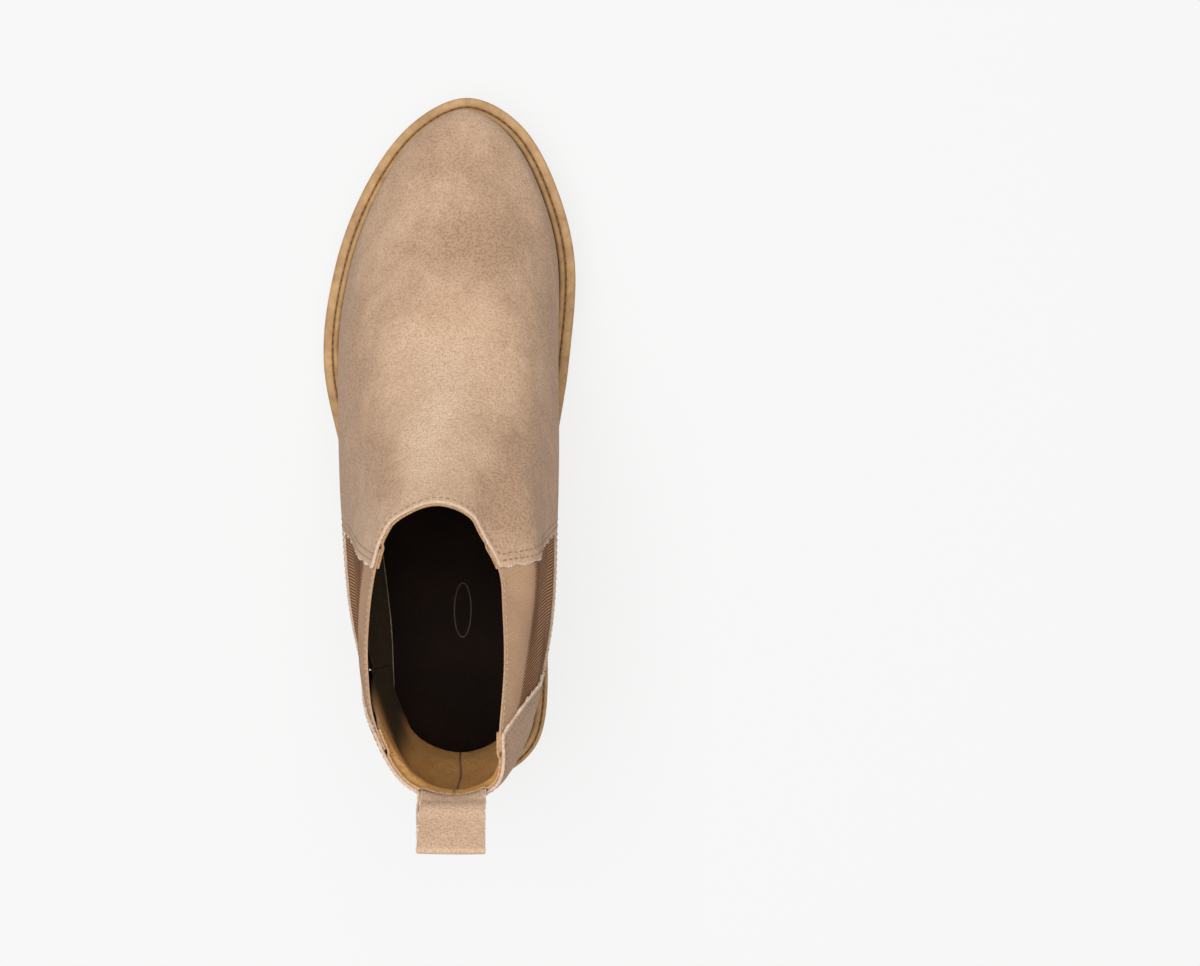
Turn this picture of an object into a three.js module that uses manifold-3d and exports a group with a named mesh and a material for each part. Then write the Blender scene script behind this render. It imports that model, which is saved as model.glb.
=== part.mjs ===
// A left chelsea boot as separate pieces: layered upper, elastic gores, pull tab, welt, sole and heel.
// Millimetres, +Z up, toe towards -Y, little-toe (lateral) side towards +X.
import * as THREE from "three";
import { mergeVertices } from "three/addons/utils/BufferGeometryUtils.js";
import Module from "manifold-3d";

const wasm = await Module();
wasm.setup();

// ---------- driving sizes ----------
const clearance = 0.3; // between pieces that touch
const soleLength = 278;
const soleMedial = 46.5; // centre line to the sole's edge at the ball
const soleLateral = 58.5;
const toeX = -1;
const heelX = 0.5;

const ballSeat = 21; // height of the welt's underside at the ball
const heelSeat = 40;
const toeSpring = 6.5;
const toeBreak = 72; // length of the part that curves up, from the toe tip
const waistStart = 172; // from the back of the heel
const heelFront = 52;

const midsoleThick = 4.5;
const outsoleHeelThick = 6;
const lugDepth = 4;
const lugPitch = 12.5;
const lugGroove = 4.2;
const lugSlant = 0.3; // radians
const lugRibHalf = 4; // half of the uncut rib down the middle
const lugLong = 70; // more than half the sole's width, so that each groove runs out of the side
const lugFirst = 20; // from the toe tip
const lugLast = 142; // from the back of the heel
const outsoleInset = 0.4;
const midsoleInset = 0.2;
const heelLength = 58;
const heelInset = 1;
const topPieceThick = 6;
const heelBreastLean = 4; // how far the breast leans in under the waist
const nailRadius = 1.2;
const nailLength = 15;
const nailSink = 1; // nail heads sit this far up inside the tread

const weltToe = 6.9; // how far the welt stands out past the upper
const weltHeel = 4.6;
const weltThick = 3;
const beadWide = 2;
const beadHigh = 1.6;
const beadBevel = 0.3;
const beadShoulder = 0.5;
const grooveWide = 1.2;
const grooveDeep = 0.8;
const threadRadius = 0.45;

const leatherThick = 1.3;
const layerGap = 0.5; // air left between the upper's layers
const middleThick = 1; // gore, toe puff and counter
const liningThick = 1;
const fillerThick = 2;
const insoleThick = 2.3;
const sockThick = 1.5;
const shankWide = 13;
const shankThick = 1.2;
const shankFrom = 146; // from the back of the heel
const shankTo = 48;
const shankX = 4; // out from the middle line, under the arch
const sockEase = 0.5; // how far the sock stops short of the insole's edge

const collarFront = 114; // from the back of the sole, as are the other places along the boot
const collarBack = 9;
const collarMedial = 21.5;
const collarLateral = 24.5;
const collarHeight = 150;
const collarBackRise = 7;
const goreFrontTop = 91;
const goreFrontFoot = 103;
const goreRearTop = 33;
const goreRearFoot = 48;
const rearSeamFlare = 4; // the rear seam stands upright and only sweeps back near the collar
const sideSeamFoot = 48;
const goreTuck = 7; // how far the elastic runs on under the panels
const seamGap = 0.5;
const puffReach = 2.2; // stations of the outline each way from the toe
const counterReach = 1.3; // and from the heel

const tabWide = 22.7;
const tabLong = 28.5;
const tabLeaf = 1.1;
const tabFoldGap = 0.5;
const tabLean = 0.6; // radians back from upright
const tabStandoff = 2; // pivot above the collar's edge

// ---------- the sole's outline ----------
// Nine stations from toe to heel: how far along, then each side's share of its full half width.
const along = [0, 0.036, 0.12, 0.24, 0.39, 0.56, 0.755, 0.94, 1];
const footShares = {
  medial: [0, 0.465, 0.78, 0.965, 0.91, 0.765, 0.74, 0.655, 0],
  lateral: [0, 0.375, 0.685, 0.91, 0.995, 0.82, 0.66, 0.55, 0],
};
const ankleShares = {
  medial: [0, 0.32, 0.64, 0.88, 0.98, 0.985, 0.925, 0.63, 0],
  lateral: [0, 0.32, 0.64, 0.9, 1.02, 0.98, 0.86, 0.62, 0],
};
const collarShares = {
  medial: [0, 0.5, 0.82, 0.97, 1, 1, 1, 0.95, 0],
  lateral: [0, 0.52, 0.79, 0.92, 1, 1, 1.03, 0.78, 0],
};
const backStation = along.length - 1;
const stationCount = 2 * backStation;

const clamp01 = (t) => THREE.MathUtils.clamp(t, 0, 1);
const lerp = THREE.MathUtils.lerp;
const toeTip = -soleLength;

// One value for each station, from the toe round the medial side to the heel and back.
function roundTheBoot(pointAt) {
  return Array.from({ length: stationCount }, (_, k) => {
    const medial = k <= backStation;
    return pointAt(medial ? k : stationCount - k, medial);
  });
}

const outlineCurve = new THREE.CatmullRomCurve3(
  roundTheBoot((k, medial) => {
    const middle = lerp(toeX, heelX, along[k]);
    const share = footShares[medial ? "medial" : "lateral"][k];
    const side = medial ? -soleMedial : soleLateral;
    return new THREE.Vector3(lerp(middle, side, share), toeTip * (1 - along[k]), 0);
  }),
  true,
  "catmullrom",
);

// A point of the outline at a station (0 toe, 8 heel, 16 toe again), moved inwards by inset.
function outlineAt(station, inset = 0) {
  const t = (((station / stationCount) % 1) + 1) % 1;
  const p = outlineCurve.getPoint(t);
  const d = outlineCurve.getTangent(t);
  return new THREE.Vector3(p.x + d.y * inset, p.y - d.x * inset, 0);
}

// ---------- heights along the boot ----------
const springAt = (y) => toeSpring * clamp01((toeTip + toeBreak - y) / toeBreak) ** 2;
const waistAt = (y) => THREE.MathUtils.smoothstep(y, -waistStart, -heelFront);
const seatAt = (y) => ballSeat + springAt(y) + (heelSeat - ballSeat) * waistAt(y);
const midsoleTop = (y) => seatAt(y) - clearance;
const midsoleFoot = (y) => midsoleTop(y) - midsoleThick;
const outsoleTop = (y) => midsoleFoot(y) - clearance;
const heelTread = heelSeat - midsoleThick - 2 * clearance - outsoleHeelThick;
const treadAt = (y) => springAt(y) + heelTread * waistAt(y);
const weltReach = (y) => lerp(weltToe, weltHeel, THREE.MathUtils.smoothstep(y, -waistStart, -heelFront));

// ---------- the upper's surface ----------
// Key loops from the feather edge to the collar. Heights are front, side and back; follow says how
// much of the sole's own rise and fall the loop keeps, and shape runs from foot to ankle to collar.
// Rear is each side's share, medial then lateral, at the last station before the back of the heel.
// The loop where the elastic folds inwards, and the collar over it, have their own shares.
const featherWall = 6;
const foldShares = {
  medial: [0, 0.42, 0.72, 0.93, 1, 0.93, 0.8, 0.6, 0],
  lateral: [0, 0.43, 0.7, 0.85, 0.965, 1, 0.89, 0.5, 0],
};
const rimShares = {
  medial: [0, 0.5, 0.73, 0.98, 1.03, 1.06, 1, 0.92, 0],
  lateral: [0, 0.59, 0.91, 1.08, 1.16, 1.17, 1.05, 0.64, 0],
};
const rearStation = backStation - 1;
const collar = {
  front: -collarFront,
  back: -collarBack,
  medial: collarMedial,
  lateral: collarLateral,
  shares: rimShares,
};
const midSeat = 30;
const loops = [
  { along: 0.01, back: -3.6, medial: 40.6, lateral: 50, high: [49, 51, 52], follow: 1, shape: 0.35, rear: [0.65, 0.57] },
  { along: 0.14, back: -1.8, medial: 39.4, lateral: 46.4, high: [64, 70, 70], follow: 1, shape: 1, rear: [0.6, 0.54] },
  { along: 0.405, back: -2, medial: 37, lateral: 40.2, high: [82, 90, 96], follow: 0.6, shape: 1.1, rear: [0.6, 0.56] },
  { along: 0.655, back: -4, medial: 34.5, lateral: 35.2, high: [98, 112, 118], follow: 0.3, shape: 1.35, rear: [0.6, 0.54] },
  { along: 0.86, back: -7, medial: 33.4, lateral: 33, high: [123, 137, 140], follow: 0.1, shape: 1.7, shares: foldShares },
];
const collarFrontX = 3.4;
const collarBackX = -4;
const lowShaft = 30; // below this the shaft's height does not stretch the loops
const drawnShaft = 120; // the stretch above it that the loops are drawn for

function shareAt(shape, k, medial) {
  const [foot, ankle, collarTop] = [footShares, ankleShares, collarShares].map(
    (shares) => shares[medial ? "medial" : "lateral"][k],
  );
  return shape < 1 ? lerp(foot, ankle, shape) : lerp(ankle, collarTop, shape - 1);
}

function heightAt([front, side, back], t) {
  const forward = clamp01(1 - t / 0.4) ** 2;
  const rear = clamp01((t - 0.6) / 0.4) ** 2;
  return side + (front - side) * forward + (back - side) * rear;
}

// Each loop gives a point for any station. Heights over the seat are added last, so that the upper's
// foot follows the sole exactly.
function featherLoop(rise) {
  return (station) => {
    const p = outlineAt(station, weltReach(outlineAt(station).y));
    return p.setZ(seatAt(p.y) + rise);
  };
}

function keyLoop({ front, back, medial, lateral, high, follow, shape, rear, shares }) {
  const lift = clamp01(shape / 2);
  const curve = new THREE.CatmullRomCurve3(
    roundTheBoot((k, onMedial) => {
      const t = along[k];
      const middle = lerp(lerp(toeX, collarFrontX, lift), lerp(heelX, collarBackX, lift), t);
      const blended = k === rearStation && rear ? rear[onMedial ? 0 : 1] : shareAt(shape, k, onMedial);
      const share = shares ? shares[onMedial ? "medial" : "lateral"][k] : blended;
      const x = lerp(middle, onMedial ? -medial : lateral, share);
      return new THREE.Vector3(x, lerp(front, back, t), heightAt(high, t));
    }),
    true,
    "catmullrom",
  );
  return (station) => {
    const p = curve.getPoint((((station / stationCount) % 1) + 1) % 1);
    return p.setZ(p.z + follow * (seatAt(p.y) - midSeat));
  };
}

const featherFront = toeTip + weltToe;
const shaftStretch = (collarHeight - lowShaft) / drawnShaft;
const stretched = (z) => {
  const above = z - midSeat - lowShaft;
  return above > 0 ? midSeat + lowShaft + above * shaftStretch : z;
};
const upperLoops = [
  featherLoop(0),
  featherLoop(featherWall),
  ...loops.map((loop) =>
    keyLoop({
      ...loop,
      front: lerp(featherFront, collar.front, loop.along),
      high: loop.high.map(stretched),
    }),
  ),
  keyLoop({
    ...collar,
    high: [collarHeight, collarHeight, collarHeight + collarBackRise],
    follow: 0,
    shape: 2,
  }),
];
const top = upperLoops.length - 1;
const goreFoot = 3; // the loop the gores end on

function upperAt(station, level) {
  const rib = new THREE.CatmullRomCurve3(upperLoops.map((loop) => loop(station)), false, "catmullrom");
  return rib.getPoint(clamp01(level / top));
}

// The point of the upper that lies a given depth inside its outer face.
function upperInside(station, level, depth) {
  const d = 0.02;
  const low = Math.max(level - d, 0);
  const high = Math.min(level + d, top);
  const across = upperAt(station + d, level).sub(upperAt(station - d, level));
  const up = upperAt(station, high).sub(upperAt(station, low));
  const inward = across.cross(up).normalize();
  return upperAt(station, level).addScaledVector(inward, depth);
}

// The station at which the upper crosses a line drawn in side view.
function stationAt(level, medial, lineY) {
  let near = 0;
  let far = backStation;
  for (let i = 0; i < 24; i++) {
    const mid = (near + far) / 2;
    const p = upperAt(medial ? mid : -mid, level);
    if (p.y < lineY(p.z)) near = mid;
    else far = mid;
  }
  return (near + far) / 2;
}

const goreFootZ = midSeat + 40;
const slopeLine = (yTop, yFoot) => (z) => lerp(yFoot, yTop, (z - goreFootZ) / (collarHeight - goreFootZ));
const frontSeam = slopeLine(-goreFrontTop, -goreFrontFoot);
const rearSeamAbove = (z) => {
  const t = clamp01((z - goreFootZ) / (collarHeight - goreFootZ));
  return lerp(-goreRearFoot, -goreRearTop, t ** rearSeamFlare);
};
const rearSeam = (z) =>
  z > goreFootZ ? rearSeamAbove(z) : lerp(-sideSeamFoot, -goreRearFoot, clamp01(z / goreFootZ));

// ---------- geometry helpers ----------
function geometryOf(points, triangles) {
  const geometry = new THREE.BufferGeometry();
  const positions = new Float32Array(points.flatMap((p) => [p.x, p.y, p.z]));
  geometry.setAttribute("position", new THREE.BufferAttribute(positions, 3));
  geometry.setIndex(triangles.filter(([a, b, c]) => a !== b && b !== c && c !== a).flat());
  return geometry;
}

function solidOf(geometry) {
  const bare = geometry.clone();
  bare.deleteAttribute("normal");
  bare.deleteAttribute("uv");
  const merged = mergeVertices(bare, 1e-4);
  return new wasm.Manifold(
    new wasm.Mesh({
      numProp: 3,
      vertProperties: new Float32Array(merged.attributes.position.array),
      triVerts: new Uint32Array(merged.index.array),
    }),
  );
}

function geometryFrom(solid) {
  const mesh = solid.getMesh();
  const geometry = new THREE.BufferGeometry();
  geometry.setAttribute("position", new THREE.BufferAttribute(mesh.vertProperties, 3));
  geometry.setIndex(new THREE.BufferAttribute(mesh.triVerts, 1));
  return geometry;
}

const cut = (geometry, tools) =>
  geometryFrom(tools.reduce((solid, tool) => solid.subtract(solidOf(tool)), solidOf(geometry)));

// A closed sheet between two depths of the upper, over one or more grids of [station, level].
function sheet(grids, outerDepth, innerDepth) {
  const indexOf = new Map();
  const flat = [];
  const vertex = ([station, level]) => {
    const key = station.toFixed(3) + "/" + level.toFixed(3);
    if (!indexOf.has(key)) {
      indexOf.set(key, flat.length);
      flat.push([station, level]);
    }
    return indexOf.get(key);
  };
  const faces = [];
  grids.forEach((rows) =>
    rows.slice(1).forEach((row, i) =>
      row.slice(1).forEach((corner, j) => {
        const [a, b, c, d] = [rows[i][j], rows[i][j + 1], corner, row[j]].map(vertex);
        faces.push([a, b, c], [a, c, d]);
      }),
    ),
  );
  const count = flat.length;
  const points = [outerDepth, innerDepth].flatMap((depth) =>
    flat.map(([station, level]) => upperInside(station, level, depth)),
  );
  const edges = new Set(faces.flatMap(([a, b, c]) => [a + "," + b, b + "," + c, c + "," + a]));
  const rim = [...edges].map((e) => e.split(",").map(Number)).filter(([a, b]) => !edges.has(b + "," + a));
  return geometryOf(points, [
    ...faces.map(([a, b, c]) => [a, c, b]),
    ...faces.map(([a, b, c]) => [a + count, b + count, c + count]),
    ...rim.flatMap(([a, b]) => [
      [a, b, b + count],
      [a, b + count, a + count],
    ]),
  ]);
}

// Evenly spaced numbers from a to b.
const spread = (a, b, steps) => Array.from({ length: steps + 1 }, (_, i) => lerp(a, b, i / steps));

// A slab of the sole: pairs of outline points joined across, between two heights that vary along it.
function slab({ inset, topAt, footAt, stations, squeeze = 0 }) {
  const insetAt = typeof inset === "function" ? inset : () => inset;
  const edge = (station, shift) => {
    const p = outlineAt(station, insetAt(outlineAt(station).y));
    return new THREE.Vector3(p.x, p.y + shift, 0);
  };
  const rows = stations.map((station) => {
    const shift = station === stations[0] ? squeeze : 0;
    const left = edge(station, 0);
    const right = edge(-station, 0);
    return [
      new THREE.Vector3(left.x, left.y, topAt(left.y)),
      new THREE.Vector3(right.x, right.y, topAt(right.y)),
      new THREE.Vector3(right.x, right.y + shift, footAt(right.y)),
      new THREE.Vector3(left.x, left.y + shift, footAt(left.y)),
    ];
  });
  return loft(rows);
}

// Joins rows of corners, each row one cross-section, into a closed body.
function loft(rows) {
  const n = rows[0].length;
  const points = rows.flat();
  const triangles = [];
  rows.slice(1).forEach((_, i) => {
    for (let j = 0; j < n; j++) {
      const a = i * n + j;
      const b = i * n + ((j + 1) % n);
      triangles.push([a, b, b + n], [a, b + n, a + n]);
    }
  });
  const end = (rows.length - 1) * n;
  for (let j = 2; j < n; j++) {
    triangles.push([0, j, j - 1], [end, end + j - 1, end + j]);
  }
  const geometry = geometryOf(points, triangles);
  return geometryFrom(solidOf(geometry));
}

// A section of [distance out from the upper's foot, height over the seat] swept round the outline.
const ringSteps = 80;
function ringRoundTheUpper(section, steps) {
  const points = spread(0, stationCount, steps)
    .slice(0, steps)
    .flatMap((station) => {
      const reach = weltReach(outlineAt(station).y);
      return section(reach).map(([out, rise]) => {
        const p = outlineAt(station, reach - out);
        return p.setZ(seatAt(p.y) + rise);
      });
    });
  const sides = points.length / steps;
  const triangles = [];
  for (let i = 0; i < steps; i++) {
    const next = (i + 1) % steps;
    for (let j = 0; j < sides; j++) {
      const k = (j + 1) % sides;
      triangles.push([i * sides + j, next * sides + k, next * sides + j]);
      triangles.push([i * sides + j, i * sides + k, next * sides + k]);
    }
  }
  return geometryOf(points, triangles);
}

// ---------- sole ----------
const wholeSole = spread(0, backStation, 40);
const outlineStation = (y) => {
  let near = 0;
  let far = backStation;
  for (let i = 0; i < 24; i++) {
    const mid = (near + far) / 2;
    if (outlineAt(mid).y < y) near = mid;
    else far = mid;
  }
  return near;
};
const heelStations = spread(outlineStation(-heelLength), backStation, 14);

function outsole() {
  const body = slab({ inset: outsoleInset, topAt: outsoleTop, footAt: treadAt, stations: wholeSole });
  const grooves = [];
  for (let y = toeTip + lugFirst; y < -lugLast; y += lugPitch) {
    for (const side of [-1, 1]) {
      const groove = new THREE.BoxGeometry(lugLong, lugGroove, 2 * lugDepth);
      groove.translate(side * (lugLong / 2 + lugRibHalf), 0, 0);
      groove.rotateZ(side * lugSlant);
      groove.translate(toeX, y, springAt(y));
      grooves.push(groove);
    }
  }
  return cut(body, grooves);
}

const heelNailSpots = [
  [-20, -38],
  [20, -38],
  [-18, -18],
  [18, -18],
  [0, -10],
].map(([x, y]) => new THREE.Vector3(x + heelX, y, nailSink));

function nailAt(spot, radius, from, to) {
  const nail = new THREE.CylinderGeometry(radius, radius, to - from, 10);
  nail.rotateX(Math.PI / 2);
  return nail.translate(spot.x, spot.y, (from + to) / 2);
}
const nailHoles = () =>
  heelNailSpots.map((spot) => nailAt(spot, nailRadius + clearance, -1, nailSink + nailLength + clearance));

function heelBlock() {
  const block = slab({
    inset: heelInset,
    topAt: (y) => treadAt(y) - clearance,
    footAt: () => topPieceThick + clearance,
    stations: heelStations,
    squeeze: heelBreastLean,
  });
  return cut(block, nailHoles());
}

function heelTopPiece() {
  const piece = slab({
    inset: heelInset,
    topAt: () => topPieceThick,
    footAt: () => 0,
    stations: spread(outlineStation(-heelLength + heelBreastLean), backStation, 14),
  });
  return cut(piece, nailHoles());
}

const midsole = () => slab({ inset: midsoleInset, topAt: midsoleTop, footAt: midsoleFoot, stations: wholeSole });

function welt() {
  return ringRoundTheUpper((reach) => {
    const bead = clearance + beadWide;
    return [
      [reach, 0],
      [reach, weltThick],
      [bead + grooveWide + beadBevel, weltThick],
      [bead + grooveWide, weltThick - grooveDeep],
      [bead, weltThick - grooveDeep],
      [bead - beadBevel, weltThick + beadHigh - beadShoulder],
      [clearance + beadWide / 2, weltThick + beadHigh],
      [clearance, weltThick + beadHigh - beadShoulder],
      [clearance, 0],
    ];
  }, ringSteps);
}

function weltThread() {
  const sides = 5;
  const middle = clearance + beadWide + grooveWide / 2;
  const rise = weltThick - grooveDeep + clearance + threadRadius;
  return ringRoundTheUpper(
    () =>
      Array.from({ length: sides }, (_, i) => {
        const angle = (2 * Math.PI * i) / sides;
        return [middle + threadRadius * Math.cos(angle), rise + threadRadius * Math.sin(angle)];
      }),
    ringSteps,
  );
}

// ---------- inside the bottom ----------
const liningDepth = leatherThick + 2 * layerGap + middleThick;
const insideDepth = liningDepth + liningThick;
const insideInset = (y) => weltReach(y) + insideDepth + layerGap;
const fillerTop = (y) => seatAt(y) + fillerThick;
const insoleFoot = (y) => fillerTop(y) + clearance;
const insoleTop = (y) => insoleFoot(y) + insoleThick;
const sockFoot = (y) => insoleTop(y) + clearance;
const sockTop = (y) => sockFoot(y) + sockThick;

// A straight strip down the waist that follows the seat.
function strip(half, from, to, rise, thick) {
  return loft(
    spread(-from, -to, 16).map((y) => {
      const x = lerp(toeX, heelX, 1 + y / soleLength) + shankX;
      const z = seatAt(y) + rise;
      return [
        new THREE.Vector3(x - half, y, z + thick),
        new THREE.Vector3(x + half, y, z + thick),
        new THREE.Vector3(x + half, y, z),
        new THREE.Vector3(x - half, y, z),
      ];
    }),
  );
}

const shankRise = fillerThick - shankThick;
const shank = () => strip(shankWide / 2, shankFrom, shankTo, shankRise, shankThick);
function corkFiller() {
  const body = slab({ inset: insideInset, topAt: fillerTop, footAt: seatAt, stations: wholeSole });
  const bed = strip(
    shankWide / 2 + clearance,
    shankFrom + clearance,
    shankTo - clearance,
    shankRise - clearance,
    fillerThick,
  );
  return cut(body, [bed]);
}
const insoleBoard = () => slab({ inset: insideInset, topAt: insoleTop, footAt: insoleFoot, stations: wholeSole });
const sockLiner = () =>
  slab({ inset: (y) => insideInset(y) + sockEase, topAt: sockTop, footAt: sockFoot, stations: wholeSole });

// ---------- upper ----------
const levelsBelow = spread(0, goreFoot, 7);
const levelsAbove = spread(goreFoot, top, 9);
const vampColumns = 28;
const wingColumns = 7; // each side, under the gore
const bothSides = (level, lineY) => [true, false].map((medial) => stationAt(level, medial, lineY));
const vampFrontEdge = (level) => bothSides(level, (z) => frontSeam(z) - seamGap / 2);
const vampRearEdge = (level) => bothSides(level, (z) => rearSeam(z) - seamGap / 2);
const vampStations = ([medial, lateral]) => spread(-lateral, medial, vampColumns);
const shoulder = vampFrontEdge(goreFoot);

function vampSheet(outerDepth, innerDepth) {
  const above = levelsAbove.map((level) =>
    vampStations(vampFrontEdge(level)).map((station) => [station, level]),
  );
  const below = levelsBelow.map((level) => {
    const [medial, lateral] = vampRearEdge(level);
    return [
      ...spread(-lateral, -shoulder[1], wingColumns).slice(0, -1),
      ...vampStations(shoulder),
      ...spread(shoulder[0], medial, wingColumns).slice(1),
    ].map((station) => [station, level]);
  });
  return sheet([below, above], outerDepth, innerDepth);
}

function quarterSheet(medial, outerDepth, innerDepth, columns) {
  const sign = medial ? 1 : -1;
  const backGap = 0.02; // stations: leaves the back seam open by the clearance
  const rows = [...levelsBelow, ...levelsAbove.slice(1)].map((level) => {
    const front = stationAt(level, medial, (z) => rearSeam(z) + seamGap / 2);
    const stations = spread(front, backStation - backGap, columns).map((s) => sign * s);
    return (medial ? stations : stations.reverse()).map((station) => [station, level]);
  });
  return sheet([rows], outerDepth, innerDepth);
}

function goreSheet(medial) {
  const sign = medial ? 1 : -1;
  const outerDepth = leatherThick + layerGap;
  const tuckLevels = 0.28;
  const rows = spread(goreFoot - tuckLevels, top, 9).map((level) => {
    const front = stationAt(level, medial, (z) => frontSeam(z) - goreTuck);
    const rear = stationAt(level, medial, (z) => rearSeamAbove(z) + goreTuck);
    const stations = spread(front, rear, 8).map((s) => sign * s);
    return (medial ? stations : stations.reverse()).map((station) => [station, level]);
  });
  return sheet([rows], outerDepth, outerDepth + middleThick);
}

// A stiffener between the leather and the lining.
function stiffener(stations) {
  const outerDepth = leatherThick + layerGap;
  const grid = levelsBelow.slice(1, -1).map((level) => stations.map((station) => [station, level]));
  return sheet([grid], outerDepth, outerDepth + middleThick);
}

// ---------- pull tab ----------
const tabPlace = upperInside(backStation, top, leatherThick + layerGap + middleThick / 2);
const tabPivot = tabPlace.clone().add(new THREE.Vector3(0, 0, tabStandoff));

function pullTab() {
  const outer = tabLeaf + tabFoldGap / 2;
  const inner = tabFoldGap / 2;
  const loop = new THREE.Shape();
  loop.moveTo(-outer, 0);
  loop.lineTo(-inner, 0);
  loop.lineTo(-inner, tabLong - outer);
  loop.absarc(0, tabLong - outer, inner, Math.PI, 0, true);
  loop.lineTo(inner, 0);
  loop.lineTo(outer, 0);
  loop.lineTo(outer, tabLong - outer);
  loop.absarc(0, tabLong - outer, outer, 0, Math.PI, false);
  const geometry = new THREE.ExtrudeGeometry(loop, { depth: tabWide, bevelEnabled: false, curveSegments: 6 });
  geometry.translate(0, 0, -tabWide / 2);
  geometry.applyMatrix4(new THREE.Matrix4().makeBasis(
    new THREE.Vector3(0, 1, 0),
    new THREE.Vector3(0, 0, 1),
    new THREE.Vector3(1, 0, 0),
  ));
  return geometry;
}

const tabRootReach = 0.45; // levels of the upper that the sewn-in end covers
const tabRootHalf = tabWide / 2;
function pullTabRoot() {
  const outerDepth = leatherThick + layerGap;
  const stationsFor = (level) => {
    let reach = 0;
    while (upperAt(backStation, level).distanceTo(upperAt(backStation - reach, level)) < tabRootHalf) {
      reach += 0.01;
    }
    return reach;
  };
  const rows = spread(top - tabRootReach, top, 4).map((level) => {
    const reach = stationsFor(level);
    return spread(backStation - reach, backStation + reach, 8).map((station) => [station, level]);
  });
  return sheet([rows], outerDepth, outerDepth + middleThick);
}

// ---------- the boot ----------
const finish = (color, roughness, metalness = 0) =>
  new THREE.MeshStandardMaterial({ color, roughness, metalness });
const suede = finish(0xc4a48a, 0.95);
const gum = finish(0x9a7248, 0.6);
const crepe = finish(0xbd9460, 0.6);
const elastic = finish(0x80604a, 0.9);
const lining = finish(0x95653a, 0.9);
const board = finish(0xb09a78, 0.9);
const cork = finish(0xa87f52, 0.95);
const steel = finish(0x8c8f92, 0.35, 1);
const darkLeather = finish(0x1c120d, 0.6);
const thread = finish(0xd9b368, 0.7);
const stiffBoard = finish(0xd8cdb8, 0.9);

const boot = new THREE.Group();
function add(name, geometry, material, place) {
  const mesh = new THREE.Mesh(geometry, material);
  mesh.name = name;
  if (place) mesh.position.copy(place);
  boot.add(mesh);
  return mesh;
}

add("outsole", outsole(), gum);
add("heel_block", heelBlock(), gum);
add("heel_top_piece", heelTopPiece(), gum);
heelNailSpots.forEach((spot, i) =>
  add("heel_nail_" + (i + 1), nailAt(spot, nailRadius, nailSink, nailSink + nailLength), steel),
);
add("midsole", midsole(), crepe);
add("welt", welt(), crepe);
add("welt_thread", weltThread(), thread);
add("cork_filler", corkFiller(), cork);
add("shank", shank(), steel);
add("insole_board", insoleBoard(), board);
add("sock_liner", sockLiner(), darkLeather);

add("vamp", vampSheet(0, leatherThick), suede);
add("vamp_lining", vampSheet(liningDepth, insideDepth), lining);
for (const medial of [true, false]) {
  const side = medial ? "medial" : "lateral";
  add("quarter_" + side, quarterSheet(medial, 0, leatherThick, 8), suede);
  add("quarter_lining_" + side, quarterSheet(medial, liningDepth, insideDepth, 8), lining);
  add("gore_" + side, goreSheet(medial), elastic);
}
add("toe_puff", stiffener(vampStations(shoulder).filter((s) => Math.abs(s) < puffReach)), stiffBoard);
add("heel_counter", stiffener(spread(backStation - counterReach, backStation + counterReach, 12)), stiffBoard);

add("pull_tab_root", pullTabRoot(), suede);
const tab = add("pull_tab", pullTab(), suede, tabPivot);
tab.rotation.x = -tabLean;

const box = new THREE.Box3().setFromObject(boot);
const middle = box.getCenter(new THREE.Vector3());
boot.position.set(-middle.x, -middle.y, -box.min.z);

export default boot;
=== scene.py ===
import math

import bmesh
import bpy
import numpy as np
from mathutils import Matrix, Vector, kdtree


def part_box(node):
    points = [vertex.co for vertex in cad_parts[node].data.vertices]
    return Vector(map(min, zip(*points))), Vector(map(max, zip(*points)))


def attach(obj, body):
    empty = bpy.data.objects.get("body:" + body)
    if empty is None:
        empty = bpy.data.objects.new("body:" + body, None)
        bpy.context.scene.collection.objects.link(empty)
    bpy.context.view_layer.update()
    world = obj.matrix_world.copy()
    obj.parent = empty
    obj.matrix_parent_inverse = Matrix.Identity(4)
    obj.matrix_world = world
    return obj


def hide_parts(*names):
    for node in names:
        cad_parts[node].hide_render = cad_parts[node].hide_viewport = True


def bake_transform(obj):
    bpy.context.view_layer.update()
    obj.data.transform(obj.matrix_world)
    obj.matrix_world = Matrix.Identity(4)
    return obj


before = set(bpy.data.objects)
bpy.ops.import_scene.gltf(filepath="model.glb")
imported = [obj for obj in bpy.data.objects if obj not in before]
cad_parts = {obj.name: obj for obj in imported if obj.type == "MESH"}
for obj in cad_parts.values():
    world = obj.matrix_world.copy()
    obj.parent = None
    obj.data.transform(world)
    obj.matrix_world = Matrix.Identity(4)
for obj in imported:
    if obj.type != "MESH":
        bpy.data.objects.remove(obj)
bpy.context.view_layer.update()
print("frame in, with", len(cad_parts), "nodes")

mm = 0.001
handRng = np.random.default_rng(11)
bothSides = (("medial", True, 1), ("lateral", False, -1))  # stations run negative on the lateral side

# camera straight above, as if on a copy stand
view = {"place": (-0.0618, 0.0151, 0.936), "turn": math.pi, "lens": 66.69, "sensor": 36.0}
camera = bpy.data.objects.new("copyStand", bpy.data.cameras.new("copyStand"))
bpy.context.scene.collection.objects.link(camera)
camera.location = view["place"]
camera.rotation_euler = (0.0, 0.0, view["turn"])
camera.data.lens = view["lens"]
camera.data.sensor_width = view["sensor"]
camera.data.clip_start = 0.01
bpy.context.scene.camera = camera


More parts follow.
